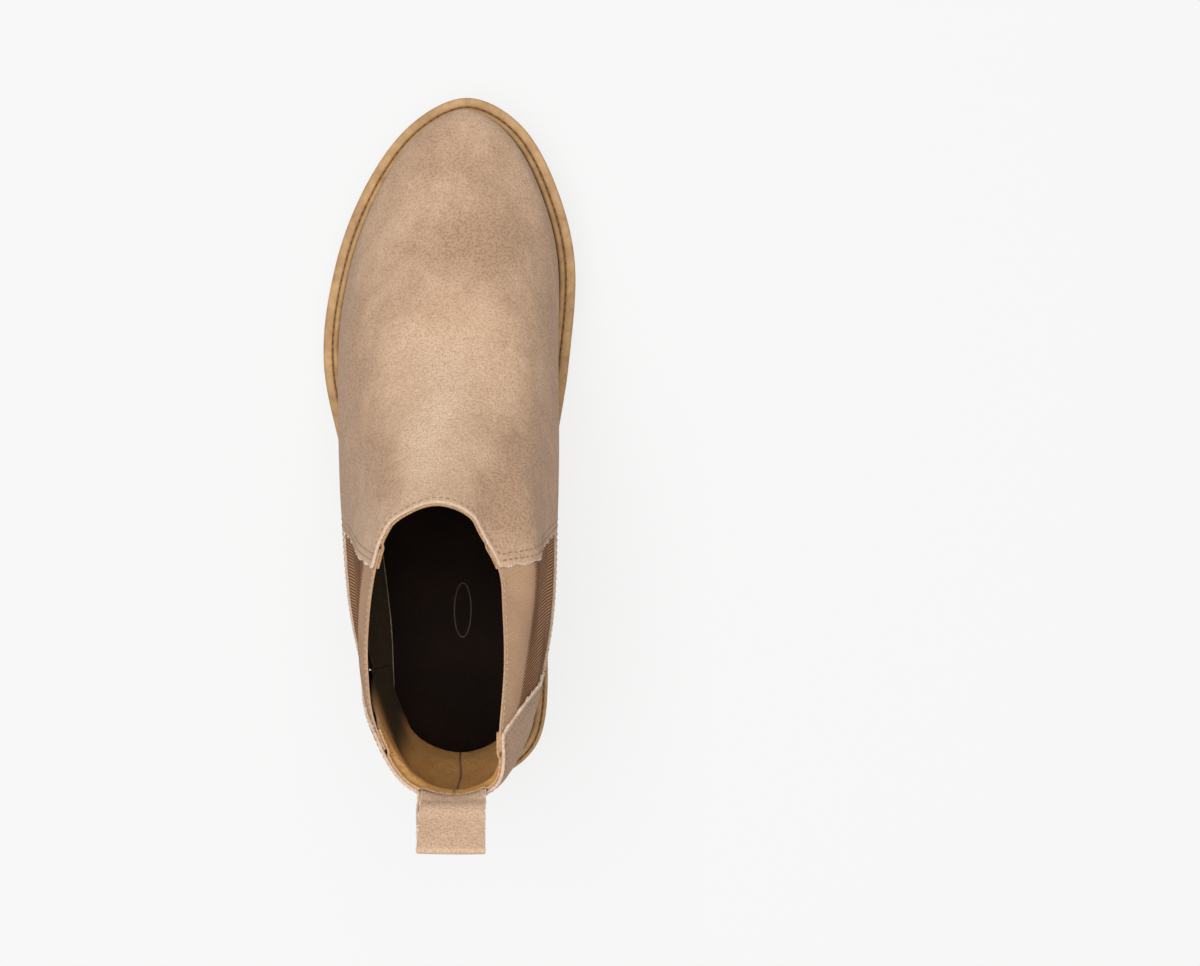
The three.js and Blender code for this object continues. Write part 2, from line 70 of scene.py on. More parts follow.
# the last: the boot's own surface, in millimetres
last = {
    "soleLength": 278.0,
    "soleSides": (-46.5, 58.5),  # medial, lateral
    "middleX": (-1.0, 0.5),  # toe, heel
    "seat": (21.0, 40.0),  # ball, heel
    "toeSpring": 6.5,
    "toeBreak": 72.0,
    "waist": (172.0, 52.0),
    "welt": (6.9, 4.6),  # toe, heel
    "wall": 6.0,
    "midSeat": 30.0,
    "collarFront": 114.0,
    "collarMiddleX": (3.4, -4.0),
    "along": [0, 0.036, 0.12, 0.24, 0.39, 0.56, 0.755, 0.94, 1],
    # shares of the reach at each station, medial then lateral
    "foot": (
        [0, 0.465, 0.78, 0.965, 0.91, 0.765, 0.74, 0.655, 0],
        [0, 0.375, 0.685, 0.91, 0.995, 0.82, 0.66, 0.55, 0],
    ),
    "ankle": (
        [0, 0.32, 0.64, 0.88, 0.98, 0.985, 0.925, 0.63, 0],
        [0, 0.32, 0.64, 0.9, 1.02, 0.98, 0.86, 0.62, 0],
    ),
    "collar": ([0, 0.5, 0.82, 0.97, 1, 1, 1, 0.95, 0], [0, 0.52, 0.79, 0.92, 1, 1, 1.03, 0.78, 0]),
    "fold": ([0, 0.42, 0.72, 0.93, 1, 0.93, 0.8, 0.6, 0], [0, 0.43, 0.7, 0.85, 0.965, 1, 0.89, 0.5, 0]),
    "rim": ([0, 0.5, 0.73, 0.98, 1.03, 1.06, 1, 0.92, 0], [0, 0.59, 0.91, 1.08, 1.16, 1.17, 1.05, 0.64, 0]),
    "ends": 0.4,  # share of the length over which a loop rises to its front and back heights
    # along, back, medial, lateral, heights at front side back, how far it follows the seat,
    # shape from foot 0 over ankle 1 to collar 2, shares beside the back or a list of its own
    "loops": [
        (0.01, -3.6, 40.6, 50.0, (49, 51, 52), 1.0, 0.35, (0.65, 0.57)),
        (0.14, -1.8, 39.4, 46.4, (64, 70, 70), 1.0, 1.0, (0.6, 0.54)),
        (0.405, -2.0, 37.0, 40.2, (82, 90, 96), 0.6, 1.1, (0.6, 0.56)),
        (0.655, -4.0, 34.5, 35.2, (98, 112, 118), 0.3, 1.35, (0.6, 0.54)),
        (0.86, -7.0, 33.4, 33.0, (123, 137, 140), 0.1, 1.7, "fold"),
        (1.0, -9.0, 21.5, 24.5, (150, 150, 157), 0.0, 2.0, "rim"),
    ],
}
stationCount = 16  # stations round the boot: the toe is 0, the back 8
backStation = stationCount // 2
topLevel = 7  # the collar's edge
goreLevel = 3  # the foot of the elastic window
nudge = 0.02  # a step small enough to feel the surface's slope


def between(a, b, t):
    return a + (b - a) * t


def eased(t):
    t = np.clip(t, 0, 1)
    return t * t * (3 - 2 * t)


def smoothThrough(a, b, c, d, t):
    return 0.5 * (2 * b + (c - a) * t + (2 * a - 5 * b + 4 * c - d) * t**2 + (3 * b - a - 3 * c + d) * t**3)


def roundCurve(points, station):
    first = np.floor(station).astype(int)
    a, b, c, d = (points[(first + k) % len(points)] for k in (-1, 0, 1, 2))
    return smoothThrough(a, b, c, d, (station - first)[:, None])


def roundTheBoot(pointAt):
    stations = range(stationCount)
    return np.array([pointAt(min(k, stationCount - k), k <= backStation) for k in stations], float)


def solePoint(k, onMedial):
    side = 0 if onMedial else 1
    t = last["along"][k]
    x = between(between(*last["middleX"], t), last["soleSides"][side], last["foot"][side][k])
    return x, -last["soleLength"] * (1 - t), 0


soleLine = roundTheBoot(solePoint)


def unit(v):
    return v / np.maximum(np.linalg.norm(v, axis=-1, keepdims=True), 1e-12)


def outlineAt(station, inset=0.0):
    station = np.atleast_1d(np.asarray(station, float))
    step = 0.0016
    d = unit(roundCurve(soleLine, station + step) - roundCurve(soleLine, station - step))
    side = np.stack([d[:, 1], -d[:, 0], 0 * d[:, 0]], 1)
    return roundCurve(soleLine, station) + side * np.broadcast_to(inset, station.shape)[:, None]


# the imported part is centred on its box, so the last moves by the same amount
weltRound = outlineAt(np.linspace(0, stationCount, 81)[:-1])
weltLow = np.array(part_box("welt")[0]) / mm
centring = np.array([weltLow[0] - weltRound[:, 0].min(), weltLow[1] - weltRound[:, 1].min(), 0.0])
print("last centred by", np.round(centring, 3))


def springAt(y):
    past = (last["toeBreak"] - last["soleLength"] - y) / last["toeBreak"]
    return last["toeSpring"] * np.clip(past, 0, 1) ** 2


def waistAt(y):
    start, stop = last["waist"]
    return eased((y + start) / (start - stop))


def seatAt(y):
    return between(*last["seat"], waistAt(y)) + springAt(y)


def weltReach(y):
    return between(*last["welt"], waistAt(y))


def featherLoop(rise):
    def loop(station):
        p = outlineAt(station, weltReach(outlineAt(station)[:, 1]))
        p[:, 2] = seatAt(p[:, 1]) + rise
        return p

    return loop


def keyLoop(along, back, medial, lateral, high, follow, shape, rear):
    front = between(-last["soleLength"] + last["welt"][0], -last["collarFront"], along)
    lift = min(shape / 2, 1)
    middles = [between(last["middleX"][i], last["collarMiddleX"][i], lift) for i in (0, 1)]

    def share(k, side):
        if isinstance(rear, str):
            return last[rear][side][k]
        if k == backStation - 1:
            return rear[side]
        foot, ankle, collar = (last[name][side][k] for name in ("foot", "ankle", "collar"))
        return between(foot, ankle, shape) if shape < 1 else between(ankle, collar, shape - 1)

    def place(k, onMedial):
        t = last["along"][k]
        x = between(between(*middles, t), -medial if onMedial else lateral, share(k, 0 if onMedial else 1))
        toFront = max(1 - t / last["ends"], 0) ** 2
        toBack = max(1 - (1 - t) / last["ends"], 0) ** 2
        z = high[1] + (high[0] - high[1]) * toFront + (high[2] - high[1]) * toBack
        return x, between(front, back, t), z

    points = roundTheBoot(place)

    def loop(station):
        p = roundCurve(points, station)
        p[:, 2] += follow * (seatAt(p[:, 1]) - last["midSeat"])
        return p

    return loop


upperLoops = [featherLoop(0.0), featherLoop(last["wall"]), *(keyLoop(*row) for row in last["loops"])]


def upperAt(station, level):
    station, level = (np.ravel(x) for x in np.broadcast_arrays(np.asarray(station, float), level))
    loops = [loop(station) for loop in upperLoops]
    loops = np.stack([2 * loops[0] - loops[1], *loops, 2 * loops[-1] - loops[-2]])
    first = np.clip(np.floor(level), 0, topLevel - 1).astype(int)
    rows = np.arange(len(station))
    a, b, c, d = (loops[first + k, rows] for k in range(4))
    return smoothThrough(a, b, c, d, (level - first)[:, None]) + centring


def skinAt(station, level):
    # the surface's points, and the way in from them
    station, level = (np.ravel(x) for x in np.broadcast_arrays(np.asarray(station, float), level))
    across = upperAt(station + nudge, level) - upperAt(station - nudge, level)
    above, below = np.minimum(level + nudge, topLevel), np.maximum(level - nudge, 0)
    up = upperAt(station, above) - upperAt(station, below)
    return upperAt(station, level), unit(np.cross(across, up))


# the elastic window's two seams, foot and top, measured from the heel
window = {"low": 70.0, "tall": 80.0, "front": (-103.0, -91.0), "rear": (-48.0, -33.0), "rearCurl": 4}


def upWindow(z):
    return (z - window["low"]) / window["tall"]


def frontSeam(z):
    return between(*window["front"], upWindow(z)) + centring[1]


def rearSeam(z):
    return between(*window["rear"], np.clip(upWindow(z), 0, 1) ** window["rearCurl"]) + centring[1]


def stationAt(level, medial, line):
    level = np.atleast_1d(np.asarray(level, float))
    near, far = np.zeros(len(level)), np.full(len(level), float(backStation))
    for _ in range(22):  # each step halves the span
        middle = (near + far) / 2
        p = upperAt(middle if medial else -middle, level)
        before = p[:, 1] < line(p[:, 2])
        near, far = np.where(before, middle, near), np.where(before, far, middle)
    return (near + far) / 2


# how the suede lies over the last: folds and soft hollows, in millimetres outwards
drape = {
    # x, y, half length, half width, turn from the boot's length in degrees, amount
    "folds": [
        (-8, 2, 30, 9, 4, 1.1),  # ridge running down from the throat
        (-30, 6, 22, 7, -24, -1.5),  # hollow inside the ankle
        (14, 8, 24, 7, 20, -1.2),
        (-24, 19, 12, 2.6, -34, 0.8),
        (-33, 12, 12, 2.4, -30, 0.7),
        (15, 22, 11, 2.4, 14, 0.6),
        (2, -40, 16, 22, 0, -0.5),  # the flex of the forefoot
        (-20, -62, 12, 26, 12, 0.4),
        (10, -82, 14, 22, -14, 0.4),
    ],
    "ripple": 0.28,
    "goreClear": 16.0,  # the folds start to die out this far before the elastic
    "goreFade": 14.0,
    "footLevel": 1.2,
}
rippleWaves = [(handRng.normal(0, 0.055, 3), handRng.uniform(0, 6.28)) for _ in range(9)]


def blob(p, x, y, long, wide, turn):
    a = math.radians(turn)
    dx, dy = p[:, 0] - x, p[:, 1] - y
    along, across = -dx * math.sin(a) + dy * math.cos(a), dx * math.cos(a) + dy * math.sin(a)
    return np.exp(-((along / long) ** 2) - (across / wide) ** 2)


def drapeAt(p, level):
    out = sum(row[5] * blob(p, *row[:5]) for row in drape["folds"])
    out = out + drape["ripple"] * sum(np.sin(p @ way + phase) for way, phase in rippleWaves) / 3
    toGore = 1 - eased((p[:, 1] - frontSeam(p[:, 2]) + drape["goreClear"]) / drape["goreFade"])
    return out * toGore * eased(level - drape["footLevel"])


# mesh helpers
def ringQuads(a, b, count):
    # quads between two rings whose first corners are a and b
    return [(a + j, a + (j + 1) % count, b + (j + 1) % count, b + j) for j in range(count)]


def gridQuads(index):
    return np.stack([index[:-1, :-1], index[:-1, 1:], index[1:, 1:], index[1:, :-1]], -1).reshape(-1, 4)


def meshPiece(name, points, faces, materials, smooth=True, picks=None, uv=None, attributes=None):
    mesh = bpy.data.meshes.new(name)
    mesh.from_pydata((np.asarray(points) * mm).tolist(), [], [list(map(int, f)) for f in faces])
    for material in materials:
        mesh.materials.append(material)
    if picks is not None:
        mesh.polygons.foreach_set("material_index", np.asarray(picks, np.int32))
    mesh.polygons.foreach_set("use_smooth", np.full(len(faces), smooth))
    if uv is not None:
        layer = mesh.uv_layers.new(name="layUp")
        loopVertex = np.zeros(len(mesh.loops), np.int32)
        mesh.loops.foreach_get("vertex_index", loopVertex)
        layer.data.foreach_set("uv", np.asarray(uv, np.float32)[loopVertex].ravel())
    for key, values in (attributes or {}).items():
        mesh.attributes.new(key, "FLOAT", "POINT").data.foreach_set("value", np.asarray(values, np.float32))
    mesh.update()
    piece = bpy.data.objects.new(name, mesh)
    bpy.context.scene.collection.objects.link(piece)
    return piece


def joinGrids(grids):
    # grids of (station, level) corners share their common edges
    known, corners, quads = {}, [], []
    for grid in grids:
        rows, columns = grid.shape[:2]
        index = np.empty((rows, columns), int)
        for i in range(rows):
            for j in range(columns):
                key = (round(grid[i, j, 0], 5), round(grid[i, j, 1], 5))
                if key not in known:
                    known[key] = len(corners)
                    corners.append(key)
                index[i, j] = known[key]
        quads.append(gridQuads(index))
    quads = np.concatenate(quads)
    keep = [len(set(q)) == 4 for q in quads.tolist()]
    return np.array(corners), quads[keep]


def rimOf(count, quads):
    edges = np.concatenate([quads[:, [k, (k + 1) % 4]] for k in range(4)])
    ordered = np.sort(edges, 1)
    _, first, times = np.unique(ordered[:, 0] * count + ordered[:, 1], return_index=True, return_counts=True)
    rim = np.zeros(count, bool)
    rim[edges[first[times == 1]].ravel()] = True
    return rim


def distanceTo(points, targets):
    tree = kdtree.KDTree(len(targets))
    for i, p in enumerate(targets):
        tree.insert(p, i)
    tree.balance()
    return np.array([tree.find(p)[2] for p in points])


def closedSheet(
    name, surface, inward, quads, outer, inner, materials, rawWide=0.0,
    uv=None, tone=0.0, proud=0.0, backing=None,
):
    # a sheet with thickness and rounded cut edges; the second material lies along them, or on the inner face
    count = len(surface)
    rim = rimOf(count, quads)
    edge = distanceTo(surface, surface[rim])
    edge[rim] = 0
    outer, inner, proud, tone = (np.broadcast_to(x, count) for x in (outer, inner, proud, tone))
    half = (inner - outer) / 2
    lost = half - np.sqrt(np.maximum(half**2 - np.maximum(half - edge, 0) ** 2, 0))
    face = surface + inward * (outer + lost - proud)[:, None]
    back = surface + inward * (inner - lost - np.where(rim, proud, proud * 0.8))[:, None]
    face[rim] = back[rim] = (face[rim] + back[rim]) / 2
    inside = np.arange(count) + count
    inside[rim] = np.nonzero(rim)[0]
    compact = np.full(2 * count, -1)
    used = np.unique(np.concatenate([np.arange(count), inside]))
    compact[used] = np.arange(len(used))

    def both(values):
        return np.concatenate([values, values])[used]

    points = np.concatenate([face, back])[used]
    faces = np.concatenate([compact[quads[:, ::-1]], compact[inside[quads]]])
    near = edge[quads].mean(1)
    picks = np.concatenate([near < rawWide, near < rawWide * 1.2]).astype(int)
    if backing is not None:
        picks[len(near):][near > 1.2] = backing
    uv = None if uv is None else both(uv)
    attributes = {"edge": both(edge), "tone": both(tone)}
    return meshPiece(name, points, faces, materials, picks=picks, uv=uv, attributes=attributes)


def lengthsAlong(points):
    return np.concatenate([[0], np.cumsum(np.linalg.norm(np.diff(points, axis=0), axis=1))])


def alongPath(at, s, values):
    return np.stack([np.interp(at, s, values[:, k]) for k in range(values.shape[1])], 1)


def resampled(points, spacing, extra=None):
    s = lengthsAlong(points)
    at = np.linspace(0, s[-1], max(int(s[-1] / spacing), 2))
    if extra is None:
        return alongPath(at, s, points)
    return alongPath(at, s, points), alongPath(at, s, extra)


def stitches(name, runs, thread, material):
    # runs: pairs of points and the way out of the surface, one pair for each seam
    sides, rings = 6, 7
    turn = np.linspace(0, 2 * math.pi, sides, endpoint=False)
    cosine, sine = np.cos(turn)[None, :, None], np.sin(turn)[None, :, None]
    stretch = np.linspace(-1, 1, rings)
    thick = thread["radius"] * np.sqrt(np.maximum(1 - 0.8 * stretch**4, 0.05))
    dip = thread["radius"] * (0.25 - 1.5 * np.abs(stretch) ** 3)  # the ends go down into the holes
    points, faces = [], []
    for path, outward in runs:
        path, outward = resampled(np.asarray(path), thread["pitch"] / 8, np.asarray(outward))
        s = lengthsAlong(path)
        for start in np.arange(thread["pitch"] * 0.3, s[-1] - thread["length"], thread["pitch"]):
            slip = handRng.normal(0, 0.04, 2)
            at = start + thread["length"] * (stretch + 1) / 2 + slip[0]
            line, out = alongPath(at, s, path), unit(alongPath(at, s, outward))
            way = unit(np.gradient(line, axis=0))
            side = unit(np.cross(way, out))
            centre = line + out * dip[:, None] + side * slip[1]
            ring = centre[:, None] + thick[:, None, None] * (cosine * side[:, None] + sine * out[:, None])
            base = len(points) * sides * rings
            points.append(ring.reshape(-1, 3))
            for i in range(rings - 1):
                faces += ringQuads(base + i * sides, base + (i + 1) * sides, sides)
            faces.append([base + j for j in range(sides)][::-1])
            faces.append([base + (rings - 1) * sides + j for j in range(sides)])
    piece = meshPiece(name, np.concatenate(points), faces, [material])
    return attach(piece, "boot")


def scattered(vectors, middle, spread, count):
    return vectors * handRng.normal(middle, spread, count)[:, None]


def fluff(name, runs, nap, material, body="boot"):
    # short loose fibres standing off a cut edge; runs are (points, out of the edge, up off the face)
    points, faces = [], []
    base, corners = 0, 7  # corners of one fibre
    for path, outward, upward in runs:
        path, ways = resampled(np.asarray(path), 0.25, np.concatenate([outward, upward], 1))
        count = int(lengthsAlong(path)[-1] * nap["perMm"])
        pick = handRng.integers(0, len(path), count)
        out, up = unit(ways[pick, :3]), unit(ways[pick, 3:])
        onward = unit(np.gradient(path, axis=0))[pick]
        # tufts: fibres bunch where a slow wave along the edge is high
        tuft = 0.55 + 0.45 * np.sin(pick * 0.21 + 2.1 * np.sin(pick * 0.037))
        length = nap["length"] * tuft * handRng.uniform(0.35, 1.0, count)
        way = unit(out + scattered(up, 0.1, 0.5, count) + scattered(onward, 0, 0.6, count))
        root = path[pick] + up * handRng.uniform(-0.5, 0.35, count)[:, None] * nap["thick"] - out * 0.12
        side = unit(np.cross(way, up)) * nap["width"] / 2
        rise = unit(np.cross(side, way)) * nap["width"] / 2
        bend = unit(way + scattered(up, 0, 0.5, count) + scattered(onward, 0, 0.5, count))
        middle = root + way * (length * 0.55)[:, None]
        tip = middle + bend * (length * 0.45)[:, None]
        foot = [root - side, root + side, root + rise * 1.5]
        fibre = np.stack([*foot, middle - side * 0.7, middle + side * 0.7, middle + rise, tip], 1)
        points.append(fibre.reshape(-1, 3))
        for a in range(base, base + count * corners, corners):
            faces += [(a, a + 1, a + 4, a + 3), (a + 1, a + 2, a + 5, a + 4), (a + 2, a, a + 3, a + 5)]
            faces += [(a + 3, a + 4, a + 6), (a + 4, a + 5, a + 6), (a + 5, a + 3, a + 6), (a + 2, a + 1, a)]
        base += count * corners
    piece = meshPiece(name, np.concatenate(points), faces, [material], smooth=False)
    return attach(piece, body)


# finishes
def shade(r, g, b):
    parts = (r / 255, g / 255, b / 255)
    return tuple(c / 12.92 if c <= 0.04045 else ((c + 0.055) / 1.055) ** 2.4 for c in parts) + (1.0,)


class Finish:
    def __init__(self, name, **sockets):
        self.material = bpy.data.materials.new(name)
        self.material.use_nodes = True
        self.nodes, self.links = self.material.node_tree.nodes, self.material.node_tree.links
        self.shader = self.nodes["Principled BSDF"]
        for socket, value in sockets.items():
            self.shader.inputs[socket.replace("_", " ")].default_value = value

    def add(self, kind, **settings):
        node = self.nodes.new(kind)
        for key, value in settings.items():
            setattr(node, key, value)
        return node

    def put(self, socket, value):
        if isinstance(value, bpy.types.NodeSocket):
            self.links.new(value, socket)
        else:
            socket.default_value = value

    def place(self, stretch=(1, 1, 1), turn=(0, 0, 0), useUv=False):
        coords = self.add("ShaderNodeTexCoord")
        mapping = self.add("ShaderNodeMapping")
        mapping.inputs["Scale"].default_value = stretch
        mapping.inputs["Rotation"].default_value = turn
        self.links.new(coords.outputs["UV" if useUv else "Object"], mapping.inputs["Vector"])
        return mapping.outputs["Vector"]

    def noise(self, where, scale, detail=2.0, rough=0.5, distortion=0.0):
        node = self.add("ShaderNodeTexNoise")
        self.put(node.inputs["Vector"], where)
        node.inputs["Scale"].default_value = scale
        node.inputs["Detail"].default_value = detail
        node.inputs["Roughness"].default_value = rough
        node.inputs["Distortion"].default_value = distortion
        return node.outputs["Fac"]

    def cells(self, where, scale):
        node = self.add("ShaderNodeTexVoronoi")
        self.put(node.inputs["Vector"], where)
        node.inputs["Scale"].default_value = scale
        return node.outputs["Distance"]

    def wave(self, where, scale, direction="X", distortion=0.0, detailScale=1.0, phase=0.0):
        node = self.add("ShaderNodeTexWave", bands_direction=direction)
        self.put(node.inputs["Vector"], where)
        node.inputs["Scale"].default_value = scale
        node.inputs["Distortion"].default_value = distortion
        node.inputs["Detail Scale"].default_value = detailScale
        node.inputs["Phase Offset"].default_value = phase
        return node.outputs["Fac"]

    def sum(self, a, b, gain=1.0, offset=0.0):
        node = self.add("ShaderNodeMath", operation="MULTIPLY_ADD")
        self.put(node.inputs[0], b)
        node.inputs[1].default_value = gain
        self.put(node.inputs[2], a)
        if not offset:
            return node.outputs[0]
        more = self.add("ShaderNodeMath", operation="ADD")
        self.put(more.inputs[0], node.outputs[0])
        more.inputs[1].default_value = offset
        return more.outputs[0]

    def remap(self, value, low, high, toLow=0.0, toHigh=1.0):
        node = self.add("ShaderNodeMapRange")
        self.put(node.inputs["Value"], value)
        for key, number in (("From Min", low), ("From Max", high), ("To Min", toLow), ("To Max", toHigh)):
            node.inputs[key].default_value = number
        return node.outputs["Result"]

    def mix(self, share, a, b):
        node = self.add("ShaderNodeMix", data_type="RGBA")
        self.put(node.inputs[0], share)
        self.put(node.inputs[6], a)
        self.put(node.inputs[7], b)
        return node.outputs[2]

    def attribute(self, name):
        return self.add("ShaderNodeAttribute", attribute_name=name).outputs["Fac"]

    def bump(self, height, distance, strength=1.0):
        node = self.add("ShaderNodeBump")
        node.inputs["Strength"].default_value = strength
        node.inputs["Distance"].default_value = distance
        self.put(node.inputs["Height"], height)
        return node.outputs["Normal"]

    def done(self, colour=None, rough=None, normal=None):
        if colour is not None:
            self.put(self.shader.inputs["Base Color"], colour)
        if rough is not None:
            self.put(self.shader.inputs["Roughness"], rough)
        if normal is not None:
            self.put(self.shader.inputs["Normal"], normal)
        return self.material


suedeLook = {
    "pale": shade(228, 199, 171),
    "body": shade(205, 170, 140),
    # brushed is the dark end of the nap, which the painted shade in the tone attribute also reaches
    "brushed": shade(154, 118, 90),
    "grain": 1750.0,  # nap tufts to the metre
    "sheen": 0.12,
}


def suedeFinish(name, useUv=False):
    look = suedeLook
    f = Finish(name, Roughness=0.95, Sheen_Weight=look["sheen"], Sheen_Roughness=0.45)
    f.shader.inputs["Sheen Tint"].default_value = (1.0, 0.92, 0.84, 1)
    f.shader.inputs["Specular IOR Level"].default_value = 0.15
    where = f.place(useUv=useUv)
    brushedWay = f.place(stretch=(1.0, 0.55, 1.0), turn=(0.0, 0.0, 0.5), useUv=useUv)
    crossWay = f.place(stretch=(0.65, 1.0, 1.0), turn=(0.0, 0.0, -0.35), useUv=useUv)
    cloud = f.noise(where, 34.0, 3.0, 0.55, 0.6)
    strokes = f.noise(brushedWay, 95.0, 4.0, 0.6, 0.8)
    fine = f.noise(crossWay, 330.0, 3.0, 0.6, 0.4)
    grain = f.noise(where, look["grain"], 2.0, 0.7)
    pores = f.cells(where, look["grain"] * 0.55)
    level = f.remap(cloud, 0.3, 0.7, -0.24, 0.2)
    level = f.sum(level, f.remap(strokes, 0.3, 0.7, -0.17, 0.15))
    level = f.sum(level, f.remap(fine, 0.3, 0.7, -0.06, 0.06))
    # the tone attribute brings in painted shade and painted highlight as well as nap patches
    level = f.sum(level, f.attribute("tone"), 1.0, 0.5)
    dark = f.mix(f.remap(level, 0.0, 0.5), look["brushed"], look["body"])
    light = f.mix(f.remap(level, 0.5, 1.1), dark, look["pale"])
    speckled = f.mix(f.remap(grain, 0.36, 0.64, 0.0, 0.8), light, look["brushed"])
    speckled = f.mix(f.remap(pores, 0.1, 0.6, 0.0, 0.3), speckled, look["pale"])
    height = f.sum(f.sum(grain, pores, -0.5), fine, 0.9)
    height = f.sum(height, strokes, 0.8)
    return f.done(speckled, f.remap(level, 0.0, 1.0, 1.0, 0.86), f.bump(height, 0.0005, 0.75))


cutEdgeLook = {"deep": shade(166, 130, 100), "pale": shade(236, 214, 190), "dust": shade(222, 194, 168)}


def rawEdgeFinish():
    f = Finish("cutSuedeEdge", Roughness=0.95, Sheen_Weight=0.35)
    where = f.place()
    fibre = f.noise(f.place(stretch=(1, 1, 0.4)), 2600.0, 3.0, 0.7)
    colour = f.mix(f.remap(fibre, 0.35, 0.65), cutEdgeLook["deep"], cutEdgeLook["pale"])
    dust = f.remap(f.noise(where, 300.0, 2.0), 0.35, 0.75, 0.0, 0.5)
    return f.done(f.mix(dust, colour, cutEdgeLook["dust"]), 0.95, f.bump(fibre, 0.0004, 0.8))


def fibreFinish(name, pale, deep):
    f = Finish(name, Roughness=0.85, Sheen_Weight=0.3)
    where = f.place()
    colour = f.mix(f.remap(f.noise(where, 700.0, 2.0), 0.3, 0.7), pale, deep)
    return f.done(colour, f.remap(f.noise(where, 3000.0), 0.3, 0.7, 0.75, 0.95))


def threadFinish(name, pale, deep):
    f = Finish(name, Roughness=0.6, Sheen_Weight=0.15)
    twist = f.wave(f.place(), 900.0, "DIAGONAL", 2.0)
    colour = f.mix(twist, deep, pale)
    colour = f.mix(f.remap(f.noise(f.place(), 160.0, 2.0), 0.35, 0.7, 0.0, 0.5), colour, deep)
    return f.done(colour, f.remap(twist, 0, 1, 0.5, 0.75), f.bump(twist, 0.0002, 0.6))


elasticLook = {
    "pitch": 1.1,  # millimetres from rib to rib
    "ribDeep": shade(106, 70, 44),
    "ribPale": shade(196, 148, 108),
    "bandDeep": shade(158, 121, 92),  # the smooth band at the collar: partly its own smoother face, partly painted light on the top of the fold
    "bandPale": shade(205, 170, 138),
    "soilAndShade": shade(120, 88, 66),
}


def elasticFinish():
    look = elasticLook
    f = Finish("ribbedElastic", Roughness=0.95)
    f.shader.inputs["Specular IOR Level"].default_value = 0.15
    weave = f.place(useUv=True)
    # a wave node of scale 1 makes 20 / 2 pi bands to the unit
    rib = f.wave(weave, 2 * math.pi / 20 / look["pitch"], "X", phase=math.pi / 2)
    knit = f.wave(weave, 0.9, "Y", 1.5, 3.0)
    hair = f.noise(weave, 2.2, 3.0, 0.7)
    cloud = f.noise(f.place(), 60.0, 2.0)
    ribbed = f.mix(f.remap(rib, 0.2, 0.8), look["ribDeep"], look["ribPale"])
    smooth = f.mix(f.remap(hair, 0.3, 0.7), look["bandDeep"], look["bandPale"])
    # the smooth band's paler colour is partly painted light on the top of the fold
    colour = f.mix(f.attribute("tone"), ribbed, smooth)
    colour = f.mix(f.remap(cloud, 0.35, 0.7, 0.0, 0.25), colour, look["soilAndShade"])
    height = f.sum(f.sum(hair, knit, 0.5), rib, 0.4)
    return f.done(colour, 0.92, f.bump(height, 0.00025, 0.6))


fleeceLook = {
    "deep": shade(242, 164, 80),
    "pale": shade(255, 208, 134),
    "tips": shade(255, 206, 136),
    "matted": shade(222, 148, 74),
    "cutDeep": shade(142, 104, 74),  # the cut face round the collar
    "cutPale": shade(214, 176, 138),
    # painted shade: the near-black the lining is painted deep inside the boot
    "paintedShade": shade(14, 9, 7),
}


def fleeceFinish():
    look = fleeceLook
    f = Finish("tanFleeceLining", Roughness=1.0, Sheen_Weight=0.12, Sheen_Roughness=0.6)
    f.shader.inputs["Sheen Tint"].default_value = (1.0, 0.72, 0.42, 1)
    f.shader.inputs["Specular IOR Level"].default_value = 0.1
    where = f.place()
    tufts = f.noise(where, 420.0, 4.0, 0.65, 1.0)
    fibre = f.noise(where, 1900.0, 2.0, 0.6)
    cloud = f.noise(where, 70.0, 2.0)
    colour = f.mix(f.remap(tufts, 0.3, 0.7), look["deep"], look["pale"])
    colour = f.mix(f.remap(fibre, 0.4, 0.75, 0.0, 0.45), colour, look["tips"])
    colour = f.mix(f.remap(cloud, 0.35, 0.7, 0.0, 0.35), colour, look["matted"])
    cutFace = f.mix(f.remap(fibre, 0.35, 0.65), look["cutDeep"], look["cutPale"])
    colour = f.mix(f.remap(f.attribute("edge"), 0.3, 1.1, 0.85, 0.0), colour, cutFace)
    # painted shade: the tone attribute turns the fleece near-black where little light reaches
    colour = f.mix(f.attribute("tone"), colour, look["paintedShade"])
    return f.done(colour, 1.0, f.bump(f.sum(tufts, fibre, 0.4), 0.0011, 0.8))


gumLook = {"scuff": shade(112, 80, 50), "soilAndShade": shade(84, 54, 28), "scuffShare": 0.35}


def rubberFinish(name, pale, deep, rough=0.55):
    f = Finish(name, Roughness=rough, Subsurface_Weight=0.08)
    f.shader.inputs["Subsurface Radius"].default_value = (0.9, 0.5, 0.2)
    f.shader.inputs["Subsurface Scale"].default_value = 0.002
    where = f.place()
    cloud = f.noise(where, 150.0, 5.0, 0.65, 0.5)
    speck = f.noise(where, 900.0, 3.0, 0.6)
    scuff = f.noise(f.place(stretch=(1, 1, 5)), 130.0, 5.0, 0.7, 1.2)
    colour = f.mix(f.remap(cloud, 0.3, 0.7), deep, pale)
    colour = f.mix(f.remap(speck, 0.45, 0.75, 0.0, 0.3), colour, deep)
    colour = f.mix(f.remap(scuff, 0.58, 0.78, 0.0, gumLook["scuffShare"]), colour, gumLook["scuff"])
    # painted shade: the welt is darker in its groove, behind its bead and low on its outer wall
    colour = f.mix(f.attribute("soilAndShade"), colour, gumLook["soilAndShade"])
    roughness = f.remap(scuff, 0.3, 0.8, rough - 0.08, rough + 0.22)
    return f.done(colour, roughness, f.bump(f.sum(speck, scuff, 0.7), 0.0003, 0.35))


# painted shade: the sock's own dark brown is made near-black for the shade deep inside the boot
sockLook = {"deep": shade(19, 12, 9), "pale": shade(33, 22, 16), "pore": shade(6, 4, 3)}


